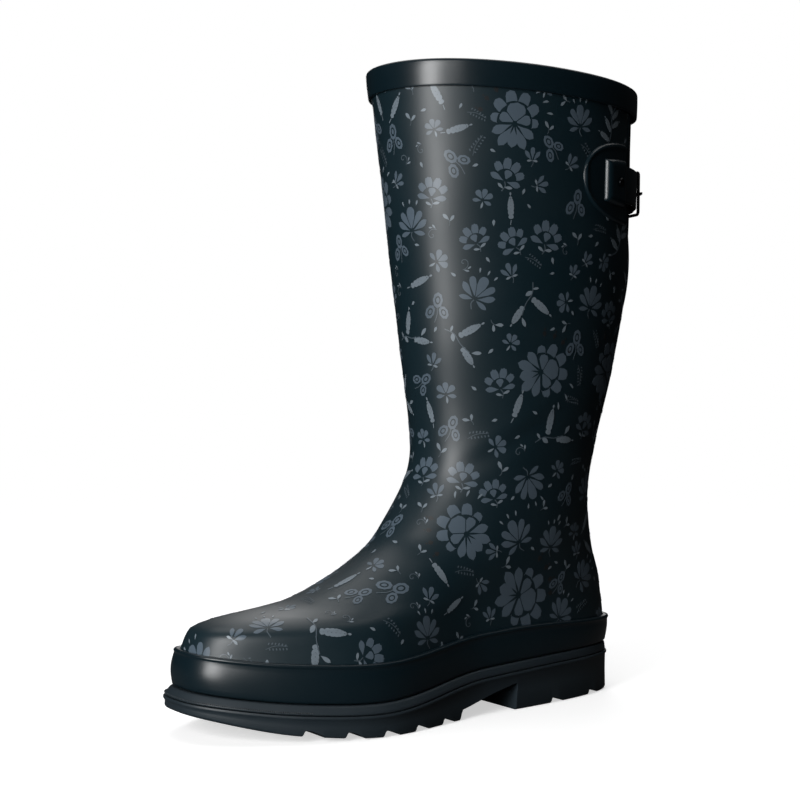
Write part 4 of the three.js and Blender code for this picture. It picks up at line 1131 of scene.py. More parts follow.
@dataclass
class Sole:
    """The glossy band round the foot, the ledge under it, the lugged sole and the lines on it."""

    around: int = 288
    foxing_heel: float = 16.0
    foxing_toe: float = 20.0
    foxing_bead: float = 0.6
    welt_height: float = 5.0
    welt_inside: float = -4.0
    ridge: float = 0.8
    ridge_height: float = 1.5
    chamfer: float = 1.5
    heel_length: float = 92.0
    arch_height: float = 16.0
    arch_end: float = 137.0
    arch_lug: float = 6.0
    lug_depth: float = 3.6
    lug_pitch: float = 22.0
    lug_ramp: float = 11.0
    foxing_out: float = field(init=False)
    turn: Array = field(init=False)
    out: Array = field(init=False)

    def __post_init__(self) -> None:
        """Works out how far the sole stands out all round."""
        self.foxing_out = FORM.gap + FORM.foxing_wall
        self.turn = np.arange(self.around) / self.around
        self.out = self.foxing_out + FORM.ledge_at(FORM.surface(self.turn, 0.0)[:, 0])
        self.welt_top = -FORM.gap
        self.welt_bottom = self.welt_top - self.welt_height
        self.sole_top = self.welt_bottom - FORM.gap

    def foxing(self) -> Piece:
        """The glossy band, a little full in its middle, with a bead along its top edge."""
        x = FORM.surface(self.turn, 0.0)[:, 0]
        top = lerp(self.foxing_heel, self.foxing_toe, smoothstep(x, 0, 0.35 * FORM.foot_length))
        out, bead = self.foxing_out, self.foxing_bead
        rows = [
            FORM.foot_rim(self.turn, FORM.gap, 0.3), FORM.foot_rim(self.turn, out - 0.7, 0.3),
            FORM.foot_rim(self.turn, out - 0.15, 0.7)
        ]
        for share in np.linspace(0.1, 1, 8):
            full = 0.35 * math.sin(math.pi * share)
            rows.append(FORM.skin_mixed(self.turn, share * (top - 2.6), out + full))
        edge = [(2.25, 0.15), (1.9, 0.5), (1.5, 1.0), (1.0, 1.0), (0.6, 0.7), (0.25, 0.1), (0.05, -0.7)]
        rows += [FORM.skin_mixed(self.turn, top - down, out + bead * rise) for down, rise in edge]
        rows.append(FORM.skin_mixed(self.turn, top, 0.5 * out))
        rows += [FORM.skin_mixed(self.turn, top * share, FORM.gap) for share in (1.0, 0.75, 0.5, 0.25, 0.1)]
        return stand(ring_piece("foxing", rows, 70.0), GLOSS_RUBBER, "boot", "foxing_band")

    def welt(self) -> Piece:
        """The ledge between foxing and sole."""
        top, low, out = self.welt_top, self.welt_bottom, self.out
        slope = 0.62 * (out - self.foxing_out)
        profile = [
            (self.welt_inside, low), (out - 0.6, low), (out - 0.15, low + 0.25), (out - 0.1, low + 1.0),
            (out - 0.35 * slope - 0.2, low + 0.42 * self.welt_height),
            (out - 0.72 * slope - 0.25, low + 0.7 * self.welt_height),
            (out - 0.93 * slope - 0.4, top - 0.6), (out - slope - 0.75, top - 0.15),
            (out - slope - 1.3, top), (self.welt_inside, top),
        ]
        rows = [FORM.foot_rim(self.turn, off, height) for off, height in profile]
        return stand(ring_piece("welt", rows, 60.0), SOLE_RUBBER, "boot", "welt_strip")

    def prism(self, outline: Profile) -> Piece:
        """A cutter right across the sole from an outline in x and z."""
        half = FORM.ball_half_width + 25
        return tube_piece("cutter", [[(x, y, z) for x, z in outline] for y in (-half, half)])

    def cutters(self) -> list[Piece]:
        """The arch and the grooves between the lugs."""
        heel, arch, under, lug = self.heel_length, self.arch_height, 3.0, self.arch_lug
        length = self.arch_end - heel
        made = [self.prism([
            (heel, -under), (heel, 0.1 * arch), (heel - 0.5, 0.5 * arch), (
                heel - 1.2, 0.85 * arch
            ), (heel - 0.4, arch),
            (heel + 0.16 * length, lerp(lug, arch, 0.84)), (heel + 0.4 * length, lerp(lug, arch, 0.6)),
            (heel + 0.6 * length, lerp(lug, arch, 0.34)), (heel + 0.8 * length, lerp(lug, arch, 0.12)),
            (self.arch_end - 2.5, lug), (
                self.arch_end - 1.2, 0.6 * lug
            ), (self.arch_end, 0), (self.arch_end, -under),
        ])]
        places = [share * heel for share in (0.3, 0.68)]
        x = self.arch_end + 14.5
        while x < 0.86 * FORM.foot_length:
            places.append(x)
            x += self.lug_pitch
        for x in places:
            start, tread = x - self.lug_ramp, FORM.tread_at
            depth = self.lug_depth
            made.append(self.prism([
                (start, tread(start) - under), (start, tread(start)), (
                    x - 0.8 * self.lug_ramp, tread(x) + 0.22 * depth
                ),
                (x - 0.5 * self.lug_ramp, tread(x) + 0.62 * depth), (
                    x - 0.25 * self.lug_ramp, tread(x) + 0.92 * depth
                ),
                (x - 1.2, tread(x) + depth), (x - 0.3, tread(x) + 0.75 * depth), (x + 0.8, tread(x)),
                (x + 0.8, tread(x) - under),
            ]))
        return made

    def outsole(self) -> Piece:
        """The lugged sole with its raised line."""

        def rim(off: float | Array, height: Callable[[Array], Array]) -> Array:
            """Points round the sole at an offset, with heights that follow x."""
            p = FORM.skin(self.turn, 0.0, off)
            p[:, 2] = height(p[:, 0])
            return p

        ridge, inside = self.out + self.ridge, self.welt_inside - FORM.gap
        tread, lift, top, rise = FORM.tread_at, FORM.lift_at, self.sole_top, self.ridge_height
        rims = [
            rim(self.out - self.chamfer, tread), rim(self.out - 0.5, lambda x: tread(x) + 0.4),
            rim(self.out, lambda x: tread(x) + self.chamfer), rim(
                self.out - 0.15, lambda x: lerp(tread(x), lift(x) + top, 0.5)
            ),
            rim(self.out, lambda x: lift(x) + top - 1.6 * rise), rim(
                ridge - 0.2, lambda x: lift(x) + top - 1.1 * rise
            ),
            rim(ridge, lambda x: lift(x) + top - 0.8 * rise), rim(
                ridge, lambda x: lift(x) + top - 0.35 * rise
            ),
            rim(ridge - 0.35, lambda x: lift(x) + top), rim(inside, lambda x: lift(x) + top),
            rim(inside, lambda x: lift(x) - FORM.gap),
        ]
        draft = Draft()
        first = draft.grid(np.stack(rims), wrap_columns=True)
        last = first + (len(rims) - 1) * self.around
        for i in range(self.around // 2):
            a, b = i, i + 1
            c, d = (self.around - i) % self.around, self.around - i - 1
            draft.faces.append((first + a, first + b, first + d, first + c))
            draft.faces.append((last + a, last + c, last + d, last + b))
        piece = draft.piece("lugged_sole", sharp=60.0)
        carve(piece, self.cutters(), sharp=40.0)
        return stand(piece, SOLE_RUBBER, "boot", "outsole")

    def line(self, start: float, end: float, off: Array, height: float) -> Piece:
        """A path on the sole's side, with the directions that parts on it face.

        Args:
            start: turn where it begins.
            end: turn where it ends.
            off: offset from the feather line, for each turn of the sole.
            height: height over the feather line's curve.

        Returns:
            An object of edges with the attributes out and across.
        """
        turn = np.linspace(start, end, 200)
        away = np.interp(turn % 1.0, np.append(self.turn, 1.0), np.append(off, off[0]))
        points = FORM.foot_rim(turn, away, height)
        out = FORM.outward(turn, 0.0)
        out[:, 2] = 0
        across = unit(np.gradient(points, axis=0))
        return path_object("sole_line", points, unit(out), across)

    def ribs(self, name: str, rib: Triple, spacing: float,
             path: tuple[float, float, Array, float]) -> Piece:
        """A line of small ribs on the sole.

        Args:
            name: the piece's name.
            rib: a rib's half width, length and height.
            spacing: the distance from rib to rib.
            path: what line takes: two turns, an offset and a height.

        Returns:
            The ribs as one piece.
        """
        part = small_rib("rib_part", *rib)
        values = {"Part": part, "Spacing": spacing * MM, "Size": 1.0, "Finish": SOLE_RUBBER.material()}
        piece = run_tree(self.line(*path), group("repeat_along_path"), values)
        bpy.data.objects.remove(part)
        piece.name = name
        return stand(piece, SOLE_RUBBER, "boot")

    def build(self) -> None:
        """Makes every piece of the sole."""
        for make in (self.foxing, self.welt, self.outsole):
            make()
        ledge = (0.385, 0.615, self.out - 0.12, self.welt_bottom + 1.3)
        side = (0.42, 0.60, self.out - 0.1, self.sole_top - 1.3)
        self.ribs("toe_knurl", (0.34, 0.9, 0.3), 1.15, ledge)
        self.ribs("toe_ribs", (0.45, 1.7, 0.35), 2.0, side)


def path_object(name: str, points: Array, out: Array, across: Array) -> Piece:
    """Edges along points in millimetres, which carry two directions."""
    mesh = bpy.data.meshes.new(name)
    places = (points + np.array([FORM.shift, 0, 0])) * MM
    mesh.from_pydata(places.tolist(), [(i, i + 1) for i in range(len(points) - 1)], [])
    store(mesh, "out", out)
    store(mesh, "across", across)
    piece = bpy.data.objects.new(name, mesh)
    bpy.context.scene.collection.objects.link(piece)
    return piece


def store(mesh: bpy.types.Mesh, name: str, values: Array) -> None:
    """Stores numbers or directions on a mesh's points."""
    whole = values.dtype.kind == "i"
    kind, field_name = ("FLOAT_VECTOR", "vector") if values.ndim == 2 else (
        "INT" if whole else "FLOAT", "value"
    )
    data = mesh.attributes.new(name, kind, "POINT").data
    data.foreach_set(field_name, values.astype(np.int32 if whole else np.float32).ravel())


def evenly(outline: Profile, step: float) -> Profile:
    """The points of a closed outline, with more between them about a step apart."""
    path: Profile = []
    for k, start in enumerate(outline):
        end = outline[(k + 1) % len(outline)]
        count = max(1, round(math.dist(start, end) / step))
        path += [(lerp(start[0], end[0], i / count), lerp(start[1], end[1], i / count)) for i in range(count)]
    return path


def circle(count: int) -> Array:
    """Angles once round, in radians."""
    return 2 * np.pi * np.arange(count) / count


def small_rib(name: str, half_width: float, length: float, height: float) -> Piece:
    """A small rounded rib at the origin: x across it, y along it and z out of it, in metres."""
    draft = Draft()
    rows = []
    for t in np.linspace(-1, 1, 6):
        wide = math.sqrt(max(1 - abs(t) ** 4, 0.02))
        rows.append([(half_width * c * wide, t * length / 2, height * s * wide) for c, s in
                     [(-1, -0.6), (-0.8, 0.5), (0, 1), (0.8, 0.5), (1, -0.6)]])
    draft.tube(np.array(rows))
    points = np.concatenate(draft.points) * MM
    return mesh_piece(name, points, draft.faces)


# ---- Straps and buckle --------------------------------------------------------------------------


@dataclass
class StrapSet:
    """The two straps over the V, their anchors, the buckle and the keeper."""

    drop: float = 58.0
    width: float = 22.0
    thickness: float = 1.5
    off: float = 1.8
    heel_bar_at: float = 8.0
    end_bar_at: float = 29.0
    heel_bar_off: float = 2.9
    end_bar_off: float = 4.9
    bar_radius: float = 1.0
    bar_clearance: float = 0.45
    eye_wall: float = 1.1
    tongue_width: float = 2.6
    tail_end: float = -40.0
    hole_radius: float = 1.7
    hole_pitch: float = 11.0
    keeper_at: float = -13.0
    keeper_width: float = 5.0
    keeper_wall: float = 1.2
    patch_gap: float = 2.0
    patch_length: float = 45.0
    patch_height: float = 49.0
    patch: float = 1.0
    housing_at: float = 6.0
    housing_length: float = 21.0
    housing_height: float = 25.0
    housing_top: float = 4.9

    def __post_init__(self) -> None:
        """Works out the places that follow from the sizes."""
        self.height = FORM.leg_height - self.drop
        self.patch_start = float(FORM.opening_at(self.height)) + self.patch_gap
        self.housing_start = self.patch_start + self.housing_at
        self.housing_end = self.housing_start + self.housing_length
        self.root = self.housing_end - 4
        self.rivet_at = self.housing_start + 0.42 * self.housing_length
        self.patch_top = FORM.gap + self.patch
        self.eye_inner = self.bar_radius + self.bar_clearance
        self.eye_outer = self.eye_inner + self.eye_wall
        self.over_eye = self.heel_bar_off + self.eye_outer + FORM.gap
        self.over_strap = self.off + self.thickness + 0.5
        self.heel_bar = self.point(self.heel_bar_at, 0.0, self.heel_bar_off)[0]
        self.end_bar = self.point(self.end_bar_at, 0.0, self.end_bar_off)[0]
        self.bar_gap = float(np.linalg.norm(self.end_bar - self.heel_bar))
        self.bar_down = -self.frame(np.array([self.heel_bar_at]))[2][0]
        self.frame_out = unit(np.cross(self.end_bar - self.heel_bar, self.bar_down))
        self.frame_along = unit(np.cross(self.bar_down, self.frame_out))
        self.hole_strap_at = SmoothLine(
            (self.tail_end, self.over_strap), (self.heel_bar_at - 14, self.over_strap),
            (self.heel_bar_at, self.over_eye),
            (
                self.heel_bar_at + 0.3 * (self.end_bar_at - self.heel_bar_at),
                lerp(self.off, self.over_eye, 0.66)
            ),
            (self.end_bar_at - 3.5, self.off + 0.1), (self.end_bar_at + 2, self.off), (self.root, self.off),
        )

    def frame(self, along: Array) -> tuple[Array, Array, Array]:
        """The strap's middle, the way out of the wall and the way across the strap."""
        turn = FORM.arc_turn(along, self.height)
        up = unit(FORM.surface(turn, self.height + 1) - FORM.surface(turn, self.height - 1))
        return FORM.surface(turn, self.height), FORM.outward(turn, self.height), up

    def point(self, along: float | Array, across: float | Array, off: float | Array) -> Array:
        """Points in the strap's own frame."""
        along, across, off = np.broadcast_arrays(np.atleast_1d(along), across, off)
        middle, out, up = self.frame(np.asarray(along, float))
        return middle + out * np.asarray(off, float)[..., None] + up * np.asarray(across, float)[..., None]

    def in_buckle(self, points: Array) -> Array:
        """Points given along the buckle, down its bars and out of the boot."""
        basis = np.stack([self.frame_along, self.bar_down, self.frame_out])
        return self.heel_bar + np.asarray(points, float) @ basis

    def strip(self, name: str, stations: Array, half_at: Callable[[float], float],
              off_at: Callable[[float], float]) -> Piece:
        """A strap with rounded edges along the wall."""
        edge = 0.55
        sections = []
        for along in stations:
            half, low = half_at(along), off_at(along)
            high = low + self.thickness
            outline = rounded(
                [(-half, low, edge), (half, low, edge), (half, high, edge), (-half, high, edge)], 3
            )
            across, off = np.array(outline).T
            sections.append(self.point(np.full(len(across), along), across, off))
        return tube_piece(name, sections, 55.0)

    def pin(self, along: float, across: float, radius: float, low: float, high: float) -> Piece:
        """A round cutter straight out of the wall."""
        angle = circle(24)
        middle, out, up = (v[0] for v in self.frame(np.array([along])))
        side = np.cross(up, out)
        ring = middle + up * across + radius * (np.cos(angle)[:, None] * side + np.sin(angle)[:, None] * up)
        return tube_piece("cutter", [ring + out * low, ring + out * high])

    def hole_strap(self) -> Piece:
        """The strap with the holes, which passes over the heel bar and under the end bar."""
        half, tip = self.width / 2, 9.0

        def half_at(along: float) -> float:
            """Half the strap's width, which closes in at its tip."""
            t = min(max((along - self.tail_end) / tip, 0.0), 1.0)
            return half * lerp(0.35, 1.0, math.sqrt(1 - (1 - t) ** 2))

        stations = np.concatenate([
            self.tail_end + tip * (1 - np.cos(np.linspace(0.05, math.pi / 2, 10))),
            np.arange(self.tail_end + tip + 2, self.root, 1.5), [self.root],
        ])
        piece = self.strip("strap_with_holes", stations, half_at, lambda a: float(self.hole_strap_at(a)))
        cutters = [
            self.pin(
                self.heel_bar_at - 4 - n * self.hole_pitch, 0, self.hole_radius, self.over_strap - 1,
                self.over_strap + self.thickness + 1
            )
            for n in (1, 2, 3)
        ]
        slot = self.tongue_width / 2 + 0.7
        ends = np.linspace(self.heel_bar_at + 0.8, self.end_bar_at - 4.5, 10)
        sections = [
            self.point(np.full(4, a), np.array([-slot, slot, slot, -slot]), np.array([0, 0, 12.0, 12.0]))
            for a in ends
        ]
        cutters.append(tube_piece("cutter", sections))
        carve(piece, cutters, sharp=50.0)
        return stand(piece, GLOSS_RUBBER, "boot", "hole_strap")

    def buckle_strap(self) -> Piece:
        """The strap that ends in an eye round the heel bar."""
        end = self.heel_bar_at - self.eye_inner
        stations = np.append(np.arange(-self.root, end, 1.5), end)
        piece = self.strip("strap_with_eye", stations, lambda _: self.width / 2, lambda _: self.off)
        angle = circle(36)
        wide = self.width / 2
        parts = []
        for radius, reach in ((self.eye_outer, wide), (self.eye_inner, wide + 2)):
            ends = [
                np.stack([radius * np.cos(angle), np.full(len(angle), y), radius * np.sin(angle)], axis=1)
                for y in (-reach, reach)
            ]
            parts.append(tube_piece("cutter", [self.in_buckle(end) for end in ends]))
        eye, bore = parts
        union = piece.modifiers.new("eye", "BOOLEAN")
        union.operation, union.solver, union.object = "UNION", "EXACT", eye
        applied(piece)
        bpy.data.objects.remove(eye)
        slot, reach = self.tongue_width / 2 + 0.6, self.eye_outer + 1.5
        corners = [(-reach, -reach), (reach, -reach), (reach, reach), (-reach, reach)]
        sections = [self.in_buckle(np.array([(x, y, z) for x, z in corners])) for y in (-slot, slot)]
        carve(piece, [bore, tube_piece("cutter", sections)], sharp=50.0)
        return stand(piece, GLOSS_RUBBER, "boot", "buckle_strap")

    def side_patch(self, sign: int, side: str) -> Piece:
        """The D of rubber at one end of the strap, with a raised round rim."""
        columns, rows = 30, 33
        outer, inner = [], []
        for angle in np.linspace(0, math.pi / 2, columns):
            share = math.sin(angle)
            width = self.patch_height * max(1 - share**2.7, 0) ** (1 / 2.3)
            line_out, line_in = [], []
            for t in np.linspace(-1, 1, rows):
                across = t * width / 2
                h = self.height + across
                along = float(FORM.opening_at(h)) + self.patch_gap + self.patch_length * share
                edge = min(
                    (1 - abs(t)) * width / 2, self.patch_length * (1 - share), self.patch_length * share
                )
                top = FORM.gap + self.patch * math.sqrt(min(edge / 1.2, 1.0)) + 0.75 * math.exp(
                    -(((edge - 2.0) / 1.1) ** 2)
                )
                turn = FORM.arc_turn(np.array([sign * along]), h)
                line_out.append(FORM.skin(turn, h, top)[0])
                line_in.append(FORM.skin(turn, h, FORM.gap - 0.2)[0])
            outer.append(line_out)
            inner.append(line_in)
        piece = slab_piece(f"side_patch_{side}", outer, inner, 70.0)
        return stand(piece, GLOSS_RUBBER, "boot", f"strap_patch_{side}")

    def housing(self, sign: int, side: str) -> Piece:
        """The moulded tunnel that holds a strap's end."""
        low, half = self.patch_top, self.housing_height / 2 + 1.5
        outer, inner = [], []
        for s in np.linspace(0, 1, 30):
            line_out, line_in = [], []
            for t in np.linspace(-1, 1, 31):
                near = min(s * self.housing_length, (1 - s) * self.housing_length, (1 - abs(t)) * half)
                shoulder = math.sqrt(max(1 - (1 - min(near / 4.2, 1.0)) ** 2, 0.0))
                well = 0.5 * math.exp(-(((s - 0.42) * self.housing_length) ** 2 + (t * half) ** 2) / 12.0)
                top = lerp(low + 0.6, self.housing_top, shoulder) - well
                bow = half * (1 - 0.12 * s * s)
                along = sign * (self.housing_start + s * self.housing_length)
                line_out.append(self.point(along, t * bow, top)[0])
                line_in.append(self.point(along, t * bow, low - 0.6)[0])
            outer.append(line_out)
            inner.append(line_in)
        piece = slab_piece(f"tunnel_{side}", outer, inner, 60.0)
        return stand(piece, GLOSS_RUBBER, "boot", f"strap_housing_{side}")

    def rivet(self, sign: int, side: str) -> Piece:
        """The rivet through a housing, with a low domed head."""
        middle, out, up = (v[0] for v in self.frame(np.array([sign * self.rivet_at])))
        across = np.cross(up, out)
        base, top = Layer.STIFFENER_OUT.value, self.housing_top
        profile = [
            (
                0.02, base - 0.7
            ), (2.3, base - 0.7), (2.6, base - 0.5), (2.6, base), (1.1, base + 0.05), (1.1, top + 0.1),
            (2.3, top + 0.15), (2.6, top + 0.35), (2.55, top + 0.6), (2.2, top + 0.95), (1.7, top + 1.15),
            (1.3, top + 1.1), (1.0, top + 0.9), (0.02, top + 0.85),
        ]
        angle = circle(32)
        ring = np.cos(angle)[:, None] * across + np.sin(angle)[:, None] * up
        piece = tube_piece(f"rivet_{side}", [middle + out * z + ring * r for r, z in profile], 50.0)
        return stand(piece, BLACK_METAL, "boot", f"anchor_rivet_{side}")

    def buckle(self) -> Piece:
        """The wire frame of the buckle."""
        inside = self.width / 2 + 1.2
        r = self.bar_radius
        far, wide, corner = self.bar_gap, inside + r, 2.4
        outline = rounded(
            [(0, -wide, corner), (far, -wide, corner), (far, wide, corner), (0, wide, corner)], 7
        )
        points = self.in_buckle(np.array([(x, y, 0.0) for x, y in evenly(outline, 1.5)]))
        tangent = unit(np.roll(points, -1, axis=0) - np.roll(points, 1, axis=0))
        side = np.cross(tangent, self.frame_out)
        angle = circle(16)
        ring = np.cos(angle)[None, :, None] * side[:, None] + np.sin(angle)[None, :, None] * self.frame_out
        wire = tube_piece("buckle_wire", points[:, None] + r * ring, closed=True)
        return stand(wire, BLACK_METAL, "buckle_frame", "buckle_frame")

    def tongue(self) -> Piece:
        """The tongue: a loop round the heel bar and a flat arm to the end bar."""
        radius, thick = self.eye_inner + 0.45, 0.5
        low = self.bar_radius + 0.35 + thick
        leave = math.asin(min(low / radius, 0.98))
        path = [
            (radius * math.cos(a), radius * math.sin(a))
            for a in np.linspace(leave + 2 * math.pi - 0.9, leave + 0.12, 24)
        ]
        start = (radius * math.cos(leave), low)
        arm = [
            (lerp(start[0], self.bar_gap - 2.0, t), lerp(start[1], low + 0.15, t))
            for t in np.linspace(0, 1, 10)
        ]
        arm += [(self.bar_gap, low + 0.05), (self.bar_gap + self.bar_radius + 0.7, low - 0.35)]
        line = np.array(path + arm)
        tangent = unit(np.gradient(line, axis=0))
        normal = np.stack([-tangent[:, 1], tangent[:, 0]], axis=1)
        sections = []
        half = self.tongue_width / 2
        for i, ((x, z), (nx, nz)) in enumerate(zip(line, normal)):
            near_tip = min((len(line) - 1 - i) / 3, 1.0)
            w = half * lerp(0.55, 1.0, near_tip)
            outline = rounded([(-w, -thick, 0.25), (w, -thick, 0.25), (w, thick, 0.25), (-w, thick, 0.25)], 2)
            sections.append(self.in_buckle(np.array([(x + nx * c, y, z + nz * c) for y, c in outline])))
        return stand(tube_piece("tongue_arm", sections, 50.0), BLACK_METAL, "buckle_tongue", "buckle_tongue")

    def keeper(self) -> Piece:
        """The loop that holds the strap's tail down."""
        inside = self.width / 2 + 0.6
        low, high = self.off - 0.6, self.over_strap + self.thickness + 0.6
        middle, out, up = (v[0] for v in self.frame(np.array([self.keeper_at])))
        along = np.cross(up, out)
        y = inside + self.keeper_wall / 2
        loop = rounded(
            [(-y, low - 0.6, 1.6), (y, low - 0.6, 1.6), (y, high + 0.6, 1.6), (-y, high + 0.6, 1.6)], 6
        )
        line = np.array(evenly(loop, 1.5))
        tangent = unit(np.roll(line, -1, axis=0) - np.roll(line, 1, axis=0))
        normal = np.stack([-tangent[:, 1], tangent[:, 0]], axis=1)
        w, t = self.keeper_width / 2, self.keeper_wall / 2
        outline = rounded([(-w, -t, 0.35), (w, -t, 0.35), (w, t, 0.35), (-w, t, 0.35)], 3)
        sections = [
            [middle + up * (p[0] + n[0] * c) + out * (p[1] + n[1] * c) + along * s for s, c in outline]
            for p, n in zip(line, normal)
        ]
        piece = tube_piece("keeper_loop", sections, 50.0, closed=True)
        return stand(piece, GLOSS_RUBBER, "strap_keeper", "strap_keeper")

    def build(self) -> None:
        """Makes the straps and everything on them."""
        self.hole_strap()
        self.buckle_strap()
        for sign, side in ((1, "outer"), (-1, "inner")):
            self.side_patch(sign, side)
            self.housing(sign, side)
            self.rivet(sign, side)
        for make in (self.buckle, self.tongue, self.keeper):
            make()


# ---- Inside the foot ----------------------------------------------------------------------------


@dataclass
class Footbed:
    """The removable footbed: a moulded foam pad with a knitted cover."""

    edge: float = -5.8
    low: float = 6.4
    foam: float = 4.0
    total: float = 5.4
    around: int = 180

    def build(self) -> Piece:
        """Makes the pad, thicker and soft-edged at its rim and hollowed under the heel."""
        turn = np.arange(self.around) / self.around
        rows: list[Array] = []
        shares = [1.0, 0.99, 0.96, 0.9, 0.8, 0.65, 0.5, 0.35, 0.2, 0.08]
        rim = FORM.skin(turn, 0.0, self.edge)
        mid = rim.copy()
        mid[:, 1] = FORM.centre_at(rim[:, 0])
        for low_side in (True, False):
            for share in (shares[::-1] if low_side else shares):
                p = lerp(mid, rim, share)
                p[:, 2] = FORM.lift_at(p[:, 0]) + self.low
                if not low_side:
                    soft = math.sqrt(1 - max(0.0, (share - 0.9) / 0.1) ** 2 * 0.75)
                    heel = 0.6 * np.exp(-(((p[:, 0] - 42) / 26) ** 2)) * (1 - share ** 2)
                    p[:, 2] += self.total * soft - heel
                rows.append(p)
        draft = Draft()
        draft.grid(np.stack(rows), wrap_columns=True)
        piece = draft.piece("footbed_pad", sharp=60.0)
        stand(piece, FOOTBED_KNIT, "footbed", "footbed_cover", "footbed_foam")
        return piece


def close_middle(piece: Piece) -> None:
    """Closes the open loops of a piece's faces."""
    work = bmesh.new()
    work.from_mesh(piece.data)
    bmesh.ops.holes_fill(work, edges=[e for e in work.edges if len(e.link_faces) == 1])
    bmesh.ops.recalc_face_normals(work, faces=work.faces)
    work.to_mesh(piece.data)
    work.free()


# ---- The print ----------------------------------------------------------------------------------


class Tone(Enum):
    """The inks of the print, in the order in which they are laid."""

    DARK = 0
    LIGHT = 1
    MID = 2
    PALE = 3


def polar(at: Spot, angle: float, reach: float) -> Spot:
    """The place at a distance from another, with the angle in degrees from straight up, turning right."""
    turn = math.radians(angle)
    return at[0] + reach * math.sin(turn), at[1] + reach * math.cos(turn)


def spun(at: Spot, angle: float, x: Array, y: Array) -> Array:
    """Flat points turned right by an angle in degrees and moved to a place."""
    turn = math.radians(angle)
    px = at[0] + x * math.cos(turn) + y * math.sin(turn)
    py = at[1] - x * math.sin(turn) + y * math.cos(turn)
    return np.stack([px, py, 0 * px], axis=-1)


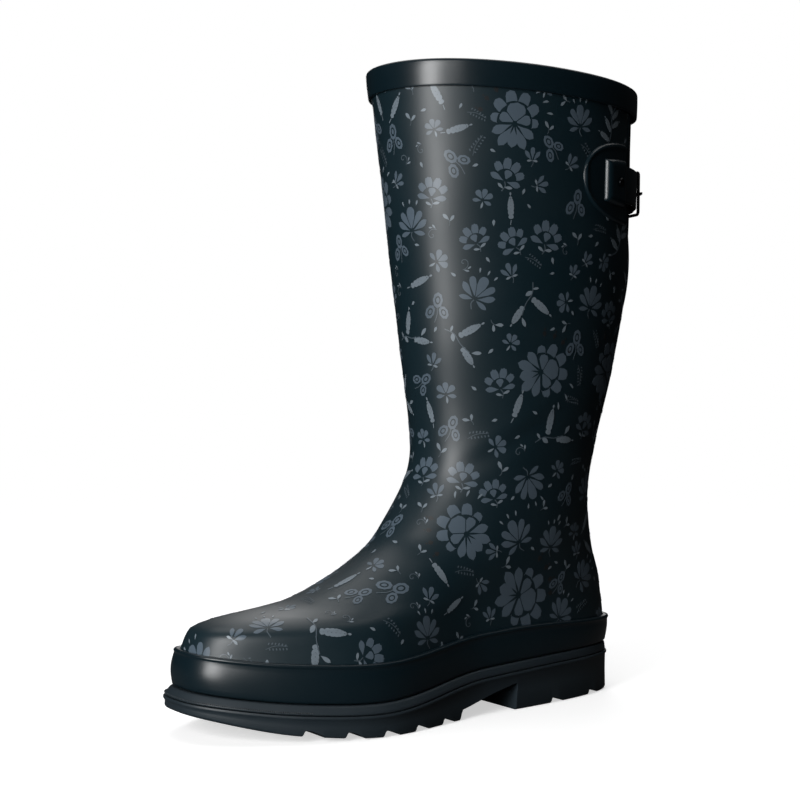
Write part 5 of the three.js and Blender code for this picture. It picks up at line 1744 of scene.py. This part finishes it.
class Motif:
    """A flat figure of the print, drawn in millimetres about its middle, in up to three inks."""

    def __init__(self) -> None:
        """Starts with nothing drawn."""
        self.drafts = {tone: Draft() for tone in Tone}

    def petal(self, tone: Tone, at: Spot, angle: float, length: float, width: float,
              full: float = 0.6, scallop: float = 0.0, bend: float = 0.0) -> "Motif":
        """Draws a petal or leaf.

        Args:
            tone: the ink.
            at: where its foot is.
            angle: which way it points, in degrees from straight up, turning right.
            length: how long it is.
            width: how wide it is at its widest.
            full: how far along its widest place is, from 0 to 1.
            scallop: how deep the notches in its tip are, as a share of its length.
            bend: how far its tip leans sideways, as a share of its length.

        Returns:
            The motif, so that more can be drawn.
        """
        t = np.linspace(0, 1, 8)[:, None]
        s = np.linspace(-1, 1, 6)[None, :]
        power = math.log(0.5) / math.log(full)
        half = 0.5 * width * np.sin(np.pi * np.clip(t, 0, 1) ** power) ** 0.75
        tip = smoothstep(t, 0.55, 1.0)
        notch = scallop * length * tip * (np.cos(s * 3 * np.pi) * 0.5 - 0.5) if scallop else 0.0
        x = s * half + bend * length * t * t
        y = t * length + notch + 0 * s
        if scallop:
            x = s * np.maximum(half, 0.5 * width * 0.62 * tip) + bend * length * t * t
        self.drafts[tone].grid(spun(at, angle, x, y))
        return self

    def petals(self, tone: Tone, side: float, foot: float, angle: float, length: float, width: float,
               full: float = 0.6, bend: float = 0.0) -> "Motif":
        """Draws a petal on the left, with its foot so far to the side, and its mirror image on the right."""
        for sign in (-1, 1):
            self.petal(tone, (sign * side, foot), sign * angle, length, width, full, bend=-sign * bend)
        return self

    def stem(self, tone: Tone, points: list[Spot], width: float = 0.5) -> "Motif":
        """Draws a thin stem along points."""
        path = smooth_path(np.array([(x, y, 0.0) for x, y in points]), 5)
        tangent = unit(np.gradient(path, axis=0))
        side = np.stack([-tangent[:, 1], tangent[:, 0], 0 * tangent[:, 0]], axis=1)
        half = 0.5 * width
        self.drafts[tone].grid(np.stack([path - side * half, path + side * half], axis=1))
        return self

    def dot(
            self, tone: Tone, at: Spot, across: float, tall: float | None = None, angle: float = 0.0
    ) -> "Motif":
        """Draws a round or oval dot."""
        tall = across if tall is None else tall
        a = circle(12)
        rows = [
            spun(at, angle, share * across / 2 * np.cos(a), share * tall / 2 * np.sin(a))
            for share in (0.02, 0.5, 1.0)
        ]
        self.drafts[tone].grid(np.stack(rows), wrap_columns=True)
        return self

    def petal_between(self, tone: Tone, at: Spot, angle: float, spread: float, inner: float, outer: float,
                      point: float = 0.12, scallop: float = 0.0, gap: float = 0.42) -> "Motif":
        """Draws a broad petal that fills a share of a ring, with an even gap to its neighbours.

        Args:
            tone: the ink.
            at: the ring's middle.
            angle: which way it points, in degrees from straight up, turning right.
            spread: how much of the ring it takes, in degrees.
            inner: where it starts, from the middle.
            outer: where it ends.
            point: how much shorter it is at its sides than at its tip, as a share.
            scallop: how deep the notches in its tip are, as a share.
            gap: width of the bare line round it.

        Returns:
            The motif, so that more can be drawn.
        """
        s = np.linspace(-1, 1, 9)[None, :]
        t = np.linspace(0, 1, 5)[:, None]
        edge = 1 - point * np.abs(s) ** 2.4 - 0.1 * np.abs(s) ** 8 - scallop * (
            0.5 - 0.5 * np.cos(4 * np.pi * s)
        )
        reach = inner + (outer * edge - inner) * t
        half = np.radians(spread) / 2 - gap / np.maximum(reach, 2 * gap) / 2
        heading = math.radians(angle) + s * np.maximum(half, 0.02)
        x, y = at[0] + reach * np.sin(heading), at[1] + reach * np.cos(heading)
        self.drafts[tone].grid(np.stack([x, y, 0 * x], axis=-1))
        return self

    def feather(
            self, tone: Tone, at: Spot, angle: float, length: float, width: float, pairs: int = 6
    ) -> "Motif":
        """Draws a toothed leaf of slanted blades on both sides of a bare rib."""
        for i in range(pairs):
            t = (i + 0.35) / pairs
            bow = math.sin(math.pi * min(1.0, 0.16 + 0.84 * t) ** 0.9)
            size = max(0.62 * width * bow, 0.18 * width)
            foot = polar(at, angle, t * length)
            for side in (-1, 1):
                self.petal(
                    tone, foot, angle + side * 34, size * 1.25, length / pairs * 0.92, 0.55, bend=0.12 * -side
                )
        return self.petal(tone, polar(at, angle, length), angle, length * 0.16, length * 0.075)

    def medal(self, at: Spot, angle: float, size: float) -> "Motif":
        """Draws an oval seed head: a light heart in a bare ring, with a scalloped edge."""
        a = circle(32)
        for inner, outer in ((0.02, 0.36), (0.6, 1.0)):
            rows = []
            for share in (inner, outer):
                edge = 1 + (0.09 * np.abs(np.cos(4 * a)) if share > 0.9 else 0)
                x, y = 0.34 * size * share * edge * np.cos(a), 0.5 * size * share * edge * np.sin(a)
                rows.append(spun(at, angle, x, y))
            self.drafts[Tone.LIGHT].grid(np.stack(rows), wrap_columns=True)
        return self


def lace(motif: Motif, at: Spot, start: float, end: float, radius: float) -> None:
    """Draws an arc of small dark curls, which hardly show on the dark wall."""
    count = max(3, round(abs(end - start) / 13))
    for k in range(count):
        angle = start + (end - start) * k / (count - 1)
        foot = polar(at, angle, radius)
        motif.petal(Tone.DARK, foot, angle, 3.4, 2.6, 0.6).dot(Tone.DARK, polar(foot, angle, 4.4), 1.1)


def make_motifs() -> list[tuple[Motif, float]]:
    """Draws every motif of the print.

    Returns:
        Each motif with the radius of the room that it needs.
    """
    motifs: list[tuple[Motif, float]] = []

    def new(radius: float) -> Motif:
        """Starts a motif that needs this much room."""
        motif = Motif()
        motifs.append((motif, radius))
        return motif

    # a big open flower: a broad middle petal, a ring round it, and long petals below
    big = new(18.0)
    big.petal_between(Tone.LIGHT, (0, -3), 0, 92, 1.0, 11.5, 0.18, 0.035)
    for angle, outer in ((-72, 10.0), (72, 10.0)):
        big.petal_between(Tone.LIGHT, (0, -3), angle, 50, 1.4, outer, 0.16, 0.03)
    for angle, outer in ((-84, 15.0), (-50, 17.5), (-17, 18.5), (17, 18.5), (50, 17.5), (84, 15.0)):
        inner = 12.2 if abs(angle) < 47 else 10.9
        big.petal_between(Tone.LIGHT, (0, -3), angle, 33, inner, outer, 0.22, 0.02)
    for angle, size, wide in (
        (-118, 12.5, 5.4), (-150, 14.0, 5.8), (180, 12.0, 6.4), (150, 14.0, 5.8), (118, 12.5, 5.4)
    ):
        big.petal(Tone.LIGHT, polar((0, -3.4), angle, 2.0), angle, size, wide, 0.68)
    lace(big, (0, -3), -78, -20, 19.6)
    for angle in (30, 48, 66):
        big.petal(Tone.PALE, polar((0, -3), angle, 21), angle + 12, 4.4, 1.3, bend=0.2)

    # a closed flower on a short stem
    lotus = new(11.5)
    lotus.petal_between(Tone.LIGHT, (0, -5), 0, 42, 1.0, 13.5, 0.3).petal_between(
        Tone.LIGHT, (0, -5), -36, 30, 1.6, 12.8, 0.26
    )
    lotus.petal_between(Tone.LIGHT, (0, -5), 36, 30, 1.6, 12.8, 0.26)
    lotus.petals(Tone.LIGHT, 1.6, -5, 66, 10.5, 3.8, 0.66, bend=0.1)
    lotus.petals(Tone.LIGHT, 1.2, -6, 104, 8.0, 2.8)
    lotus.stem(Tone.MID, [(0, -6), (-0.6, -8.5), (1.2, -11.5)], 0.55)
    for k in (-1, 0, 1):
        lotus.petal(Tone.PALE, (4.6 * k, 9.8 - 0.8 * abs(k)), 22 * k, 3.2, 1.1)

    # a flower seen from the side, with a cup and loose round petals
    cup = new(10.5)
    for angle in (-51, -17, 17, 51):
        cup.petal_between(Tone.LIGHT, (0, -5), angle, 34, 6.4, 13.0 - abs(angle) / 34, 0.2, 0.04)
    cup.petal_between(Tone.LIGHT, (0, -5), 0, 66, 1.0, 5.8, 0.12)
    cup.petals(Tone.LIGHT, 1, -5.4, 84, 8.4, 3.4, 0.66)
    cup.stem(Tone.MID, [(0, -5.6), (1.2, -8), (0.4, -11)], 0.55)
    cup.petal(Tone.PALE, (0.9, -8.5), 74, 4.8, 1.7).petal(Tone.PALE, (0.8, -9.4), -70, 4.4, 1.6)

    # three ovals on short stalks
    ovals = new(9.0)
    ovals.medal((0.4, 4.4), 0, 8.6).medal((-4.2, -3.0), 24, 8.0).medal((4.6, -2.6), -30, 7.4)
    ovals.stem(Tone.MID, [(0.4, 0), (0.6, -4), (-0.8, -9)], 0.5)

    # two toothed leaves and a bud on a bent stalk
    spray = new(15.0)
    spray.stem(Tone.MID, [(-10, 8), (-4.5, 5), (-1, -1), (4, -6)], 0.6)
    spray.feather(Tone.PALE, (-2.5, 3.4), 64, 15, 5.4, 7).feather(Tone.PALE, (-0.6, -2.4), 150, 12.5, 5.0, 6)
    spray.petal(Tone.PALE, (-5.5, 5.6), 176, 5.0, 2.6, 0.5).petal(Tone.PALE, (-6.6, 6.2), 20, 4.0, 1.5)
    spray.petal(Tone.PALE, (5, -6.4), 92, 6.0, 2.2)

    # one toothed leaf
    ear = new(8.6)
    ear.feather(Tone.PALE, (-2.2, -7.4), 14, 14.5, 5.0, 7).stem(Tone.PALE, [(-3.4, -10), (-2.2, -7.4)], 0.5)

    # a curved branch with toothed leaves on both sides
    branch = new(16.5)
    branch.stem(Tone.MID, [(-6, -15), (0.4, -9), (1.4, 0), (0.4, 8), (4, 15)], 0.9)
    for place, angle, size in (
        ((0.4, -8.6), -72, 11.0), ((1.2, -3), -44, 10.5), ((1.4, 0.5), 56, 9.5), ((0.8, 5.5), 42, 10.0),
        ((0.6, 8.4), -38, 8.6)
    ):
        branch.feather(Tone.PALE, place, angle, size, 4.6, 6)
    branch.petal(Tone.PALE, (4, 14.6), 20, 4.2, 1.5).petal(Tone.PALE, (-5.4, -14.4), -110, 4.2, 1.6)

    # a bud
    bud = new(6.4)
    bud.petal_between(Tone.LIGHT, (0, -2.4), 0, 40, 0.6, 7.4, 0.3)
    bud.petals(Tone.LIGHT, 0.9, -2.2, 38, 6.4, 2.4).petals(Tone.PALE, 0, -2.6, 96, 3.6, 1.3).stem(
        Tone.MID, [(0, -2.2), (0.6, -4), (-0.4, -6.2)], 0.45
    )

    # two small leaves on a stalk
    pair = new(5.0)
    pair.petal(Tone.PALE, (0, -1.5), -40, 5.0, 2.0).petal(Tone.PALE, (0.4, -2.4), 42, 4.4, 1.8).stem(
        Tone.MID, [(0, -1.2), (0.3, -3.4), (-0.4, -5)], 0.35
    )

    # a dotted twig
    twig = new(6.6)
    twig.stem(Tone.MID, [(-6, -2), (-1, 0.4), (6, 1.0)], 0.32)
    for k in range(6):
        x = -4.6 + 1.9 * k
        twig.dot(Tone.MID, (x, 1.7 - 0.02 * x * x), 0.8, 1.4, 20).dot(
            Tone.MID, (x + 0.9, -1.2 + 0.12 * x), 0.8, 1.4, -20
        )

    # a curl with small leaves
    curl = new(5.4)
    spiral = [
        (4.0 * math.exp(-0.32 * a) * math.cos(a), 4.0 * math.exp(-0.32 * a) * math.sin(a))
        for a in np.linspace(0, 7.2, 16)
    ]
    curl.stem(Tone.MID, spiral, 0.4).petal(Tone.PALE, (4.0, 0.6), 10, 3.0, 1.1).petal(
        Tone.PALE, (3.4, 2.4), -40, 2.4, 0.9
    )

    # a little flower with hooked leaves
    small = new(6.6)
    for angle in (-48, 0, 48):
        small.petal_between(Tone.LIGHT, (0, -2), angle, 48, 1.0, 6.4, 0.22)
    small.petals(Tone.LIGHT, 0.8, -2.6, 100, 5.0, 2.2)
    small.petal(Tone.PALE, (0.2, -3), 165, 4.0, 1.3, bend=0.2)

    # loose leaves
    seeds = new(3.4)
    seeds.petal(Tone.PALE, (-1.0, -1.6), 24, 3.8, 1.7)
    return motifs


@dataclass
class FloralPrint:
    """The scattered flowers printed on the wall."""

    seed: int = 11
    candidates: int = 9000
    lowest: float = 16.0
    highest: float = 336.0
    film: float = 0.06

    def anchors(self, radii: list[float]) -> dict[str, Array]:
        """Chooses a place, a turn and a size for each motif, the biggest first, with room round each.

        Args:
            radii: the room that each kind needs.

        Returns:
            Points in millimetres, the way out, the way across, size and kind of each.
        """
        chance = np.random.default_rng(self.seed)
        heights = chance.uniform(self.lowest, self.highest, self.candidates)
        turns = chance.uniform(0, 1, self.candidates)
        points = FORM.skin_mixed(turns, heights)
        leading = [
            (0.33, 316, 0, 1.0, 10), (
                0.275, 170, 0, 1.05, 78
            ), (0.37, 78, 0, 1.0, -70), (0.16, 36, 0, 1.2, 60),
            (0.475, 256, 1, 1.0, 0), (0.385, 216, 1, 1.0, 30), (0.48, 112, 2, 1.0, -8), (
                0.27, 102, 1, 1.05, 140
            ),
            (0.2, 214, 1, 1.0, 10), (0.335, 24, 2, 1.0, 70), (
                0.34, 246, 2, 0.95, -30
            ), (0.458, 38, 1, 0.9, -70),
            (
                0.375, 270, 11, 1.0, 20
            ), (0.495, 304, 3, 1.0, 0), (0.24, 270, 3, 1.0, 10), (0.222, 186, 3, 1.0, 0),
            (
                0.29, 294, 4, 1.0, -10
            ), (0.232, 140, 6, 1.0, 12), (0.41, 186, 4, 1.0, 0), (0.485, 322, 5, 1.0, 20),
            (
                0.425, 328, 5, 1.0, -40
            ), (0.355, 56, 5, 1.0, 84), (0.35, 126, 11, 1.1, 60), (0.44, 158, 11, 1.1, 0),
            (0.495, 190, 4, 1.0, -50), (0.495, 80, 3, 1.0, 30), (0.44, 50, 3, 0.9, 20),
        ]
        chosen: list[tuple[Array, float, float, int, float, float, float]] = []

        def room(place: Array, radius: float) -> bool:
            """Whether a place is clear of what is there."""
            return all(np.linalg.norm(place - c[0]) > 0.93 * (radius + c[5]) for c in chosen)

        def put(turn: float, height: float, kind: int, size: float, spin: float) -> None:
            """Puts a motif in place if there is room."""
            place = FORM.skin_mixed(np.array([turn]), np.array([height]))[0]
            if room(place, radii[kind] * size):
                chosen.append((place, turn, height, kind, size, radii[kind] * size, spin))

        for given in leading:
            put(*given)
        quota = [
            (0, 9), (6, 8), (4, 12), (1, 26), (2, 22), (3, 24), (11, 24), (5, 30), (7, 30), (9, 44), (10, 40),
            (8, 70), (12, 110),
        ]
        for kind, wanted in quota:
            made = 0
            for i in chance.permutation(self.candidates):
                if made >= wanted:
                    break
                size = chance.uniform(0.88, 1.1)
                radius = radii[kind] * size
                if room(points[i], radius):
                    spin = chance.normal(0, 26 if kind in (0, 1, 2, 3) else 60)
                    chosen.append((points[i], turns[i], heights[i], kind, size, radius, spin))
                    made += 1
        place = np.array([c[0] for c in chosen])
        turn = np.array([c[1] for c in chosen])
        height = np.array([c[2] for c in chosen])
        above = FORM.skin_mixed(turn, height + 1.5)
        out = np.concatenate([FORM.outward(np.array([t]), h) for t, h in zip(turn, height)])
        up = above - place
        up = unit(up - out * np.sum(up * out, axis=1, keepdims=True))
        side = np.cross(up, out)
        spin = np.radians([c[6] for c in chosen])[:, None]
        across = side * np.cos(spin) - up * np.sin(spin)
        return {
            "place": place, "out": out, "across": across,
            "size": np.array([c[4] for c in chosen]), "kind": np.array(
                [c[3] for c in chosen], dtype=np.int32
            ),
        }

    def build(self, wall: Piece) -> None:
        """Lays the motifs on the wall, one piece for each ink."""
        motifs = make_motifs()
        anchors = self.anchors([radius for _, radius in motifs])
        LOG.info("print: %d motifs", len(anchors["place"]))
        finishes = {
            Tone.LIGHT: PRINT_LIGHT, Tone.MID: PRINT_MID, Tone.DARK: PRINT_DARK, Tone.PALE: PRINT_PALE
        }
        for tone in Tone:
            store_room = bpy.data.collections.new(f"motifs_{tone.name.lower()}")
            bpy.context.scene.collection.children.link(store_room)
            for number, (motif, _) in enumerate(motifs):
                draft = motif.drafts[tone]
                mesh = bpy.data.meshes.new(f"motif_{number:02d}")
                if draft.count:
                    points = np.concatenate(draft.points) * MM
                    mesh.from_pydata(points.tolist(), [], draft.faces)
                flat = bpy.data.objects.new(f"{tone.name.lower()}_{number:02d}", mesh)
                store_room.objects.link(flat)
            mesh = bpy.data.meshes.new("anchors")
            places = (anchors["place"] + np.array([FORM.shift, 0, 0])) * MM
            mesh.from_pydata(places.tolist(), [], [])
            for key in ("out", "across", "size", "kind"):
                store(mesh, key, anchors[key])
            piece = bpy.data.objects.new(f"print_{tone.name.lower()}", mesh)
            bpy.context.scene.collection.objects.link(piece)
            run_tree(piece, group("print_on_wall"), {
                "Motifs": store_room, "Wall": wall, "Reach": 18 * MM, "Lift": (0.1 + 0.05 * tone.value) * MM,
                "Least Facing": 0.35, "Finish": finishes[tone].material(),
            })
            for flat in list(store_room.objects):
                bpy.data.objects.remove(flat)
            bpy.data.collections.remove(store_room)
            film = piece.modifiers.new("film", "SOLIDIFY")
            film.thickness = self.film * MM
            film.offset = -1.0
            applied(piece)
            shade(piece, 30.0)
            stand(piece, finishes[tone], "boot")


# ---- What stays as it was packed ----------------------------------------------------------------


def dress_hidden() -> None:
    """Gives the inner CAD nodes their finishes."""
    finishes = {
        "heel_core": EVA_FOAM, "bottom_filler": EVA_FOAM, "shank": SPRING_STEEL, "insole_board": FIBRE_BOARD,
        "heel_counter": FIBRE_BOARD, "toe_puff": FIBRE_BOARD, "ankle_patch_outer": LINING_KNIT,
        "ankle_patch_inner": LINING_KNIT,
    }
    for name, finish in finishes.items():
        node = frame["nodes"][name]
        node.data.materials.clear()
        node.data.materials.append(finish.material())


# ---- Studio -------------------------------------------------------------------------------------


@dataclass(frozen=True)
class Softbox:
    """A square studio light that looks at the boot."""

    name: str
    place: Triple
    aim: Triple
    size: Spot
    power: float
    lean: float = 0.0

    def build(self) -> None:
        """Hangs the light."""
        data = bpy.data.lights.new(self.name, "AREA")
        data.shape = "RECTANGLE"
        data.size, data.size_y = self.size
        data.energy = self.power
        lamp = bpy.data.objects.new(self.name, data)
        lamp.location = self.place
        look = Vector(self.aim) - Vector(self.place)
        turned = look.to_track_quat("-Z", "Y") @ Quaternion((0, 0, 1), math.radians(self.lean))
        lamp.rotation_euler = turned.to_euler()
        bpy.context.scene.collection.objects.link(lamp)


@dataclass
class Studio:
    """The floor, the lights and the camera."""

    azimuth: float = 36.88
    distance: float = 0.95016
    height: float = 0.19711
    target_x: float = -0.0333
    lens: float = 70.722
    pan: float = 2.37563
    tilt: float = -0.92149
    sensor: float = 36.0
    floor_tone: float = 0.85
    floor_bounce: float = 0.06
    floor_glow: float = 0.55
    dim: float = 0.008

    def camera(self) -> None:
        """Stands the camera where the whole boot is in view, a little over its middle."""
        turn = math.radians(self.azimuth)
        away = Vector((math.sin(turn), math.cos(turn), 0))
        right = Vector((-math.cos(turn), math.sin(turn), 0))
        place = Vector((self.target_x, 0, self.height)) + away * self.distance
        pan, tilt = math.radians(self.pan), math.radians(self.tilt)
        level = -away * math.cos(pan) - right * math.sin(pan)
        look = level * math.cos(tilt) + Vector((0, 0, math.sin(tilt)))
        data = bpy.data.cameras.new("camera")
        data.sensor_width = self.sensor
        data.lens = self.lens
        data.clip_start = 0.01
        camera = bpy.data.objects.new("camera", data)
        camera.location = place
        camera.rotation_euler = look.to_track_quat("-Z", "Y").to_euler()
        bpy.context.scene.collection.objects.link(camera)
        bpy.context.scene.camera = camera

    def floor(self) -> None:
        """Lays the pale floor."""
        mesh = bpy.data.meshes.new("floor")
        reach = 6.0
        mesh.from_pydata(
            [(-reach, -reach, 0), (reach, -reach, 0), (reach, reach, 0), (-reach, reach, 0)], [],
            [(0, 1, 2, 3)]
        )
        floor = bpy.data.objects.new("floor", mesh)
        bpy.context.scene.collection.objects.link(floor)
        material = bpy.data.materials.new("floor")
        material.use_nodes = True
        tree = Tree(material.node_tree)
        shader = next(n for n in material.node_tree.nodes if n.type == "BSDF_PRINCIPLED")
        place = tree.node("ShaderNodeTexCoord").outputs["Object"]
        away = tree.vector("LENGTH", place).outputs["Value"]
        far = tree.node(
            "ShaderNodeMapRange", {"Value": away, "From Min": 0.3, "From Max": 1.1},
            interpolation_type="SMOOTHSTEP"
        ).outputs[0]
        seen = tree.node("ShaderNodeLightPath").outputs["Is Camera Ray"]
        near = tree.maths("SUBTRACT", 1.0, far)
        matt = tree.maths(
            "MULTIPLY", near,
            tree.maths("MULTIPLY_ADD", seen, self.floor_tone - self.floor_bounce, self.floor_bounce)
        )
        tree.link(matt, shader.inputs["Base Color"])
        glow = tree.maths(
            "MULTIPLY", seen, tree.maths("MULTIPLY_ADD", far, 1.0 - self.floor_glow, self.floor_glow)
        )
        shader.inputs["Emission Color"].default_value = (1, 1, 1, 1)
        tree.link(glow, shader.inputs["Emission Strength"])
        shader.inputs["Roughness"].default_value = 0.9
        shader.inputs["Specular IOR Level"].default_value = 0.1
        mesh.materials.append(material)

    def world(self) -> None:
        """Soft light from all round."""
        world = bpy.data.worlds.new("studio")
        world.use_nodes = True
        tree = Tree(world.node_tree)
        back = next(n for n in world.node_tree.nodes if n.type == "BACKGROUND")
        back.inputs["Color"].default_value = (1, 1, 1, 1)
        seen = tree.node("ShaderNodeLightPath").outputs["Is Camera Ray"]
        tree.link(tree.maths("MULTIPLY_ADD", seen, 1 - self.dim, self.dim), back.inputs["Strength"])
        bpy.context.scene.world = world

    def lights(self) -> None:
        """Hangs the softboxes: a tall one by the toe, a soft one in front, a wide one over and one behind."""
        for box in (
            Softbox("key", (0.99, 0.37, 0.34), (0.0, 0.0, 0.26), (0.34, 0.80), 11.0, -9.0),
            Softbox("front", (1.00, 0.66, 0.55), (0.02, 0.0, 0.20), (0.8, 0.8), 5.0),
            Softbox("over", (-0.20, -0.25, 1.25), (0.05, 0.0, 0.05), (1.5, 1.1), 8.0),
            Softbox("back", (-0.80, -1.10, 0.80), (0.0, 0.0, 0.2), (0.7, 0.9), 5.0),
        ):
            box.build()

    def build(self) -> None:
        """Sets the studio up."""
        bpy.context.scene.view_settings.view_transform = "Standard"
        self.camera()
        self.floor()
        self.world()
        self.lights()


def main() -> None:
    """Builds the boot and its studio in order."""
    logging.basicConfig(level=logging.INFO, format="%(name)s %(message)s")
    Studio().build()
    shell = Upper().build()
    Sole().build()
    StrapSet().build()
    close_middle(Footbed().build())
    FloralPrint().build(shell)
    dress_hidden()


if __name__ == "__main__":
    main()
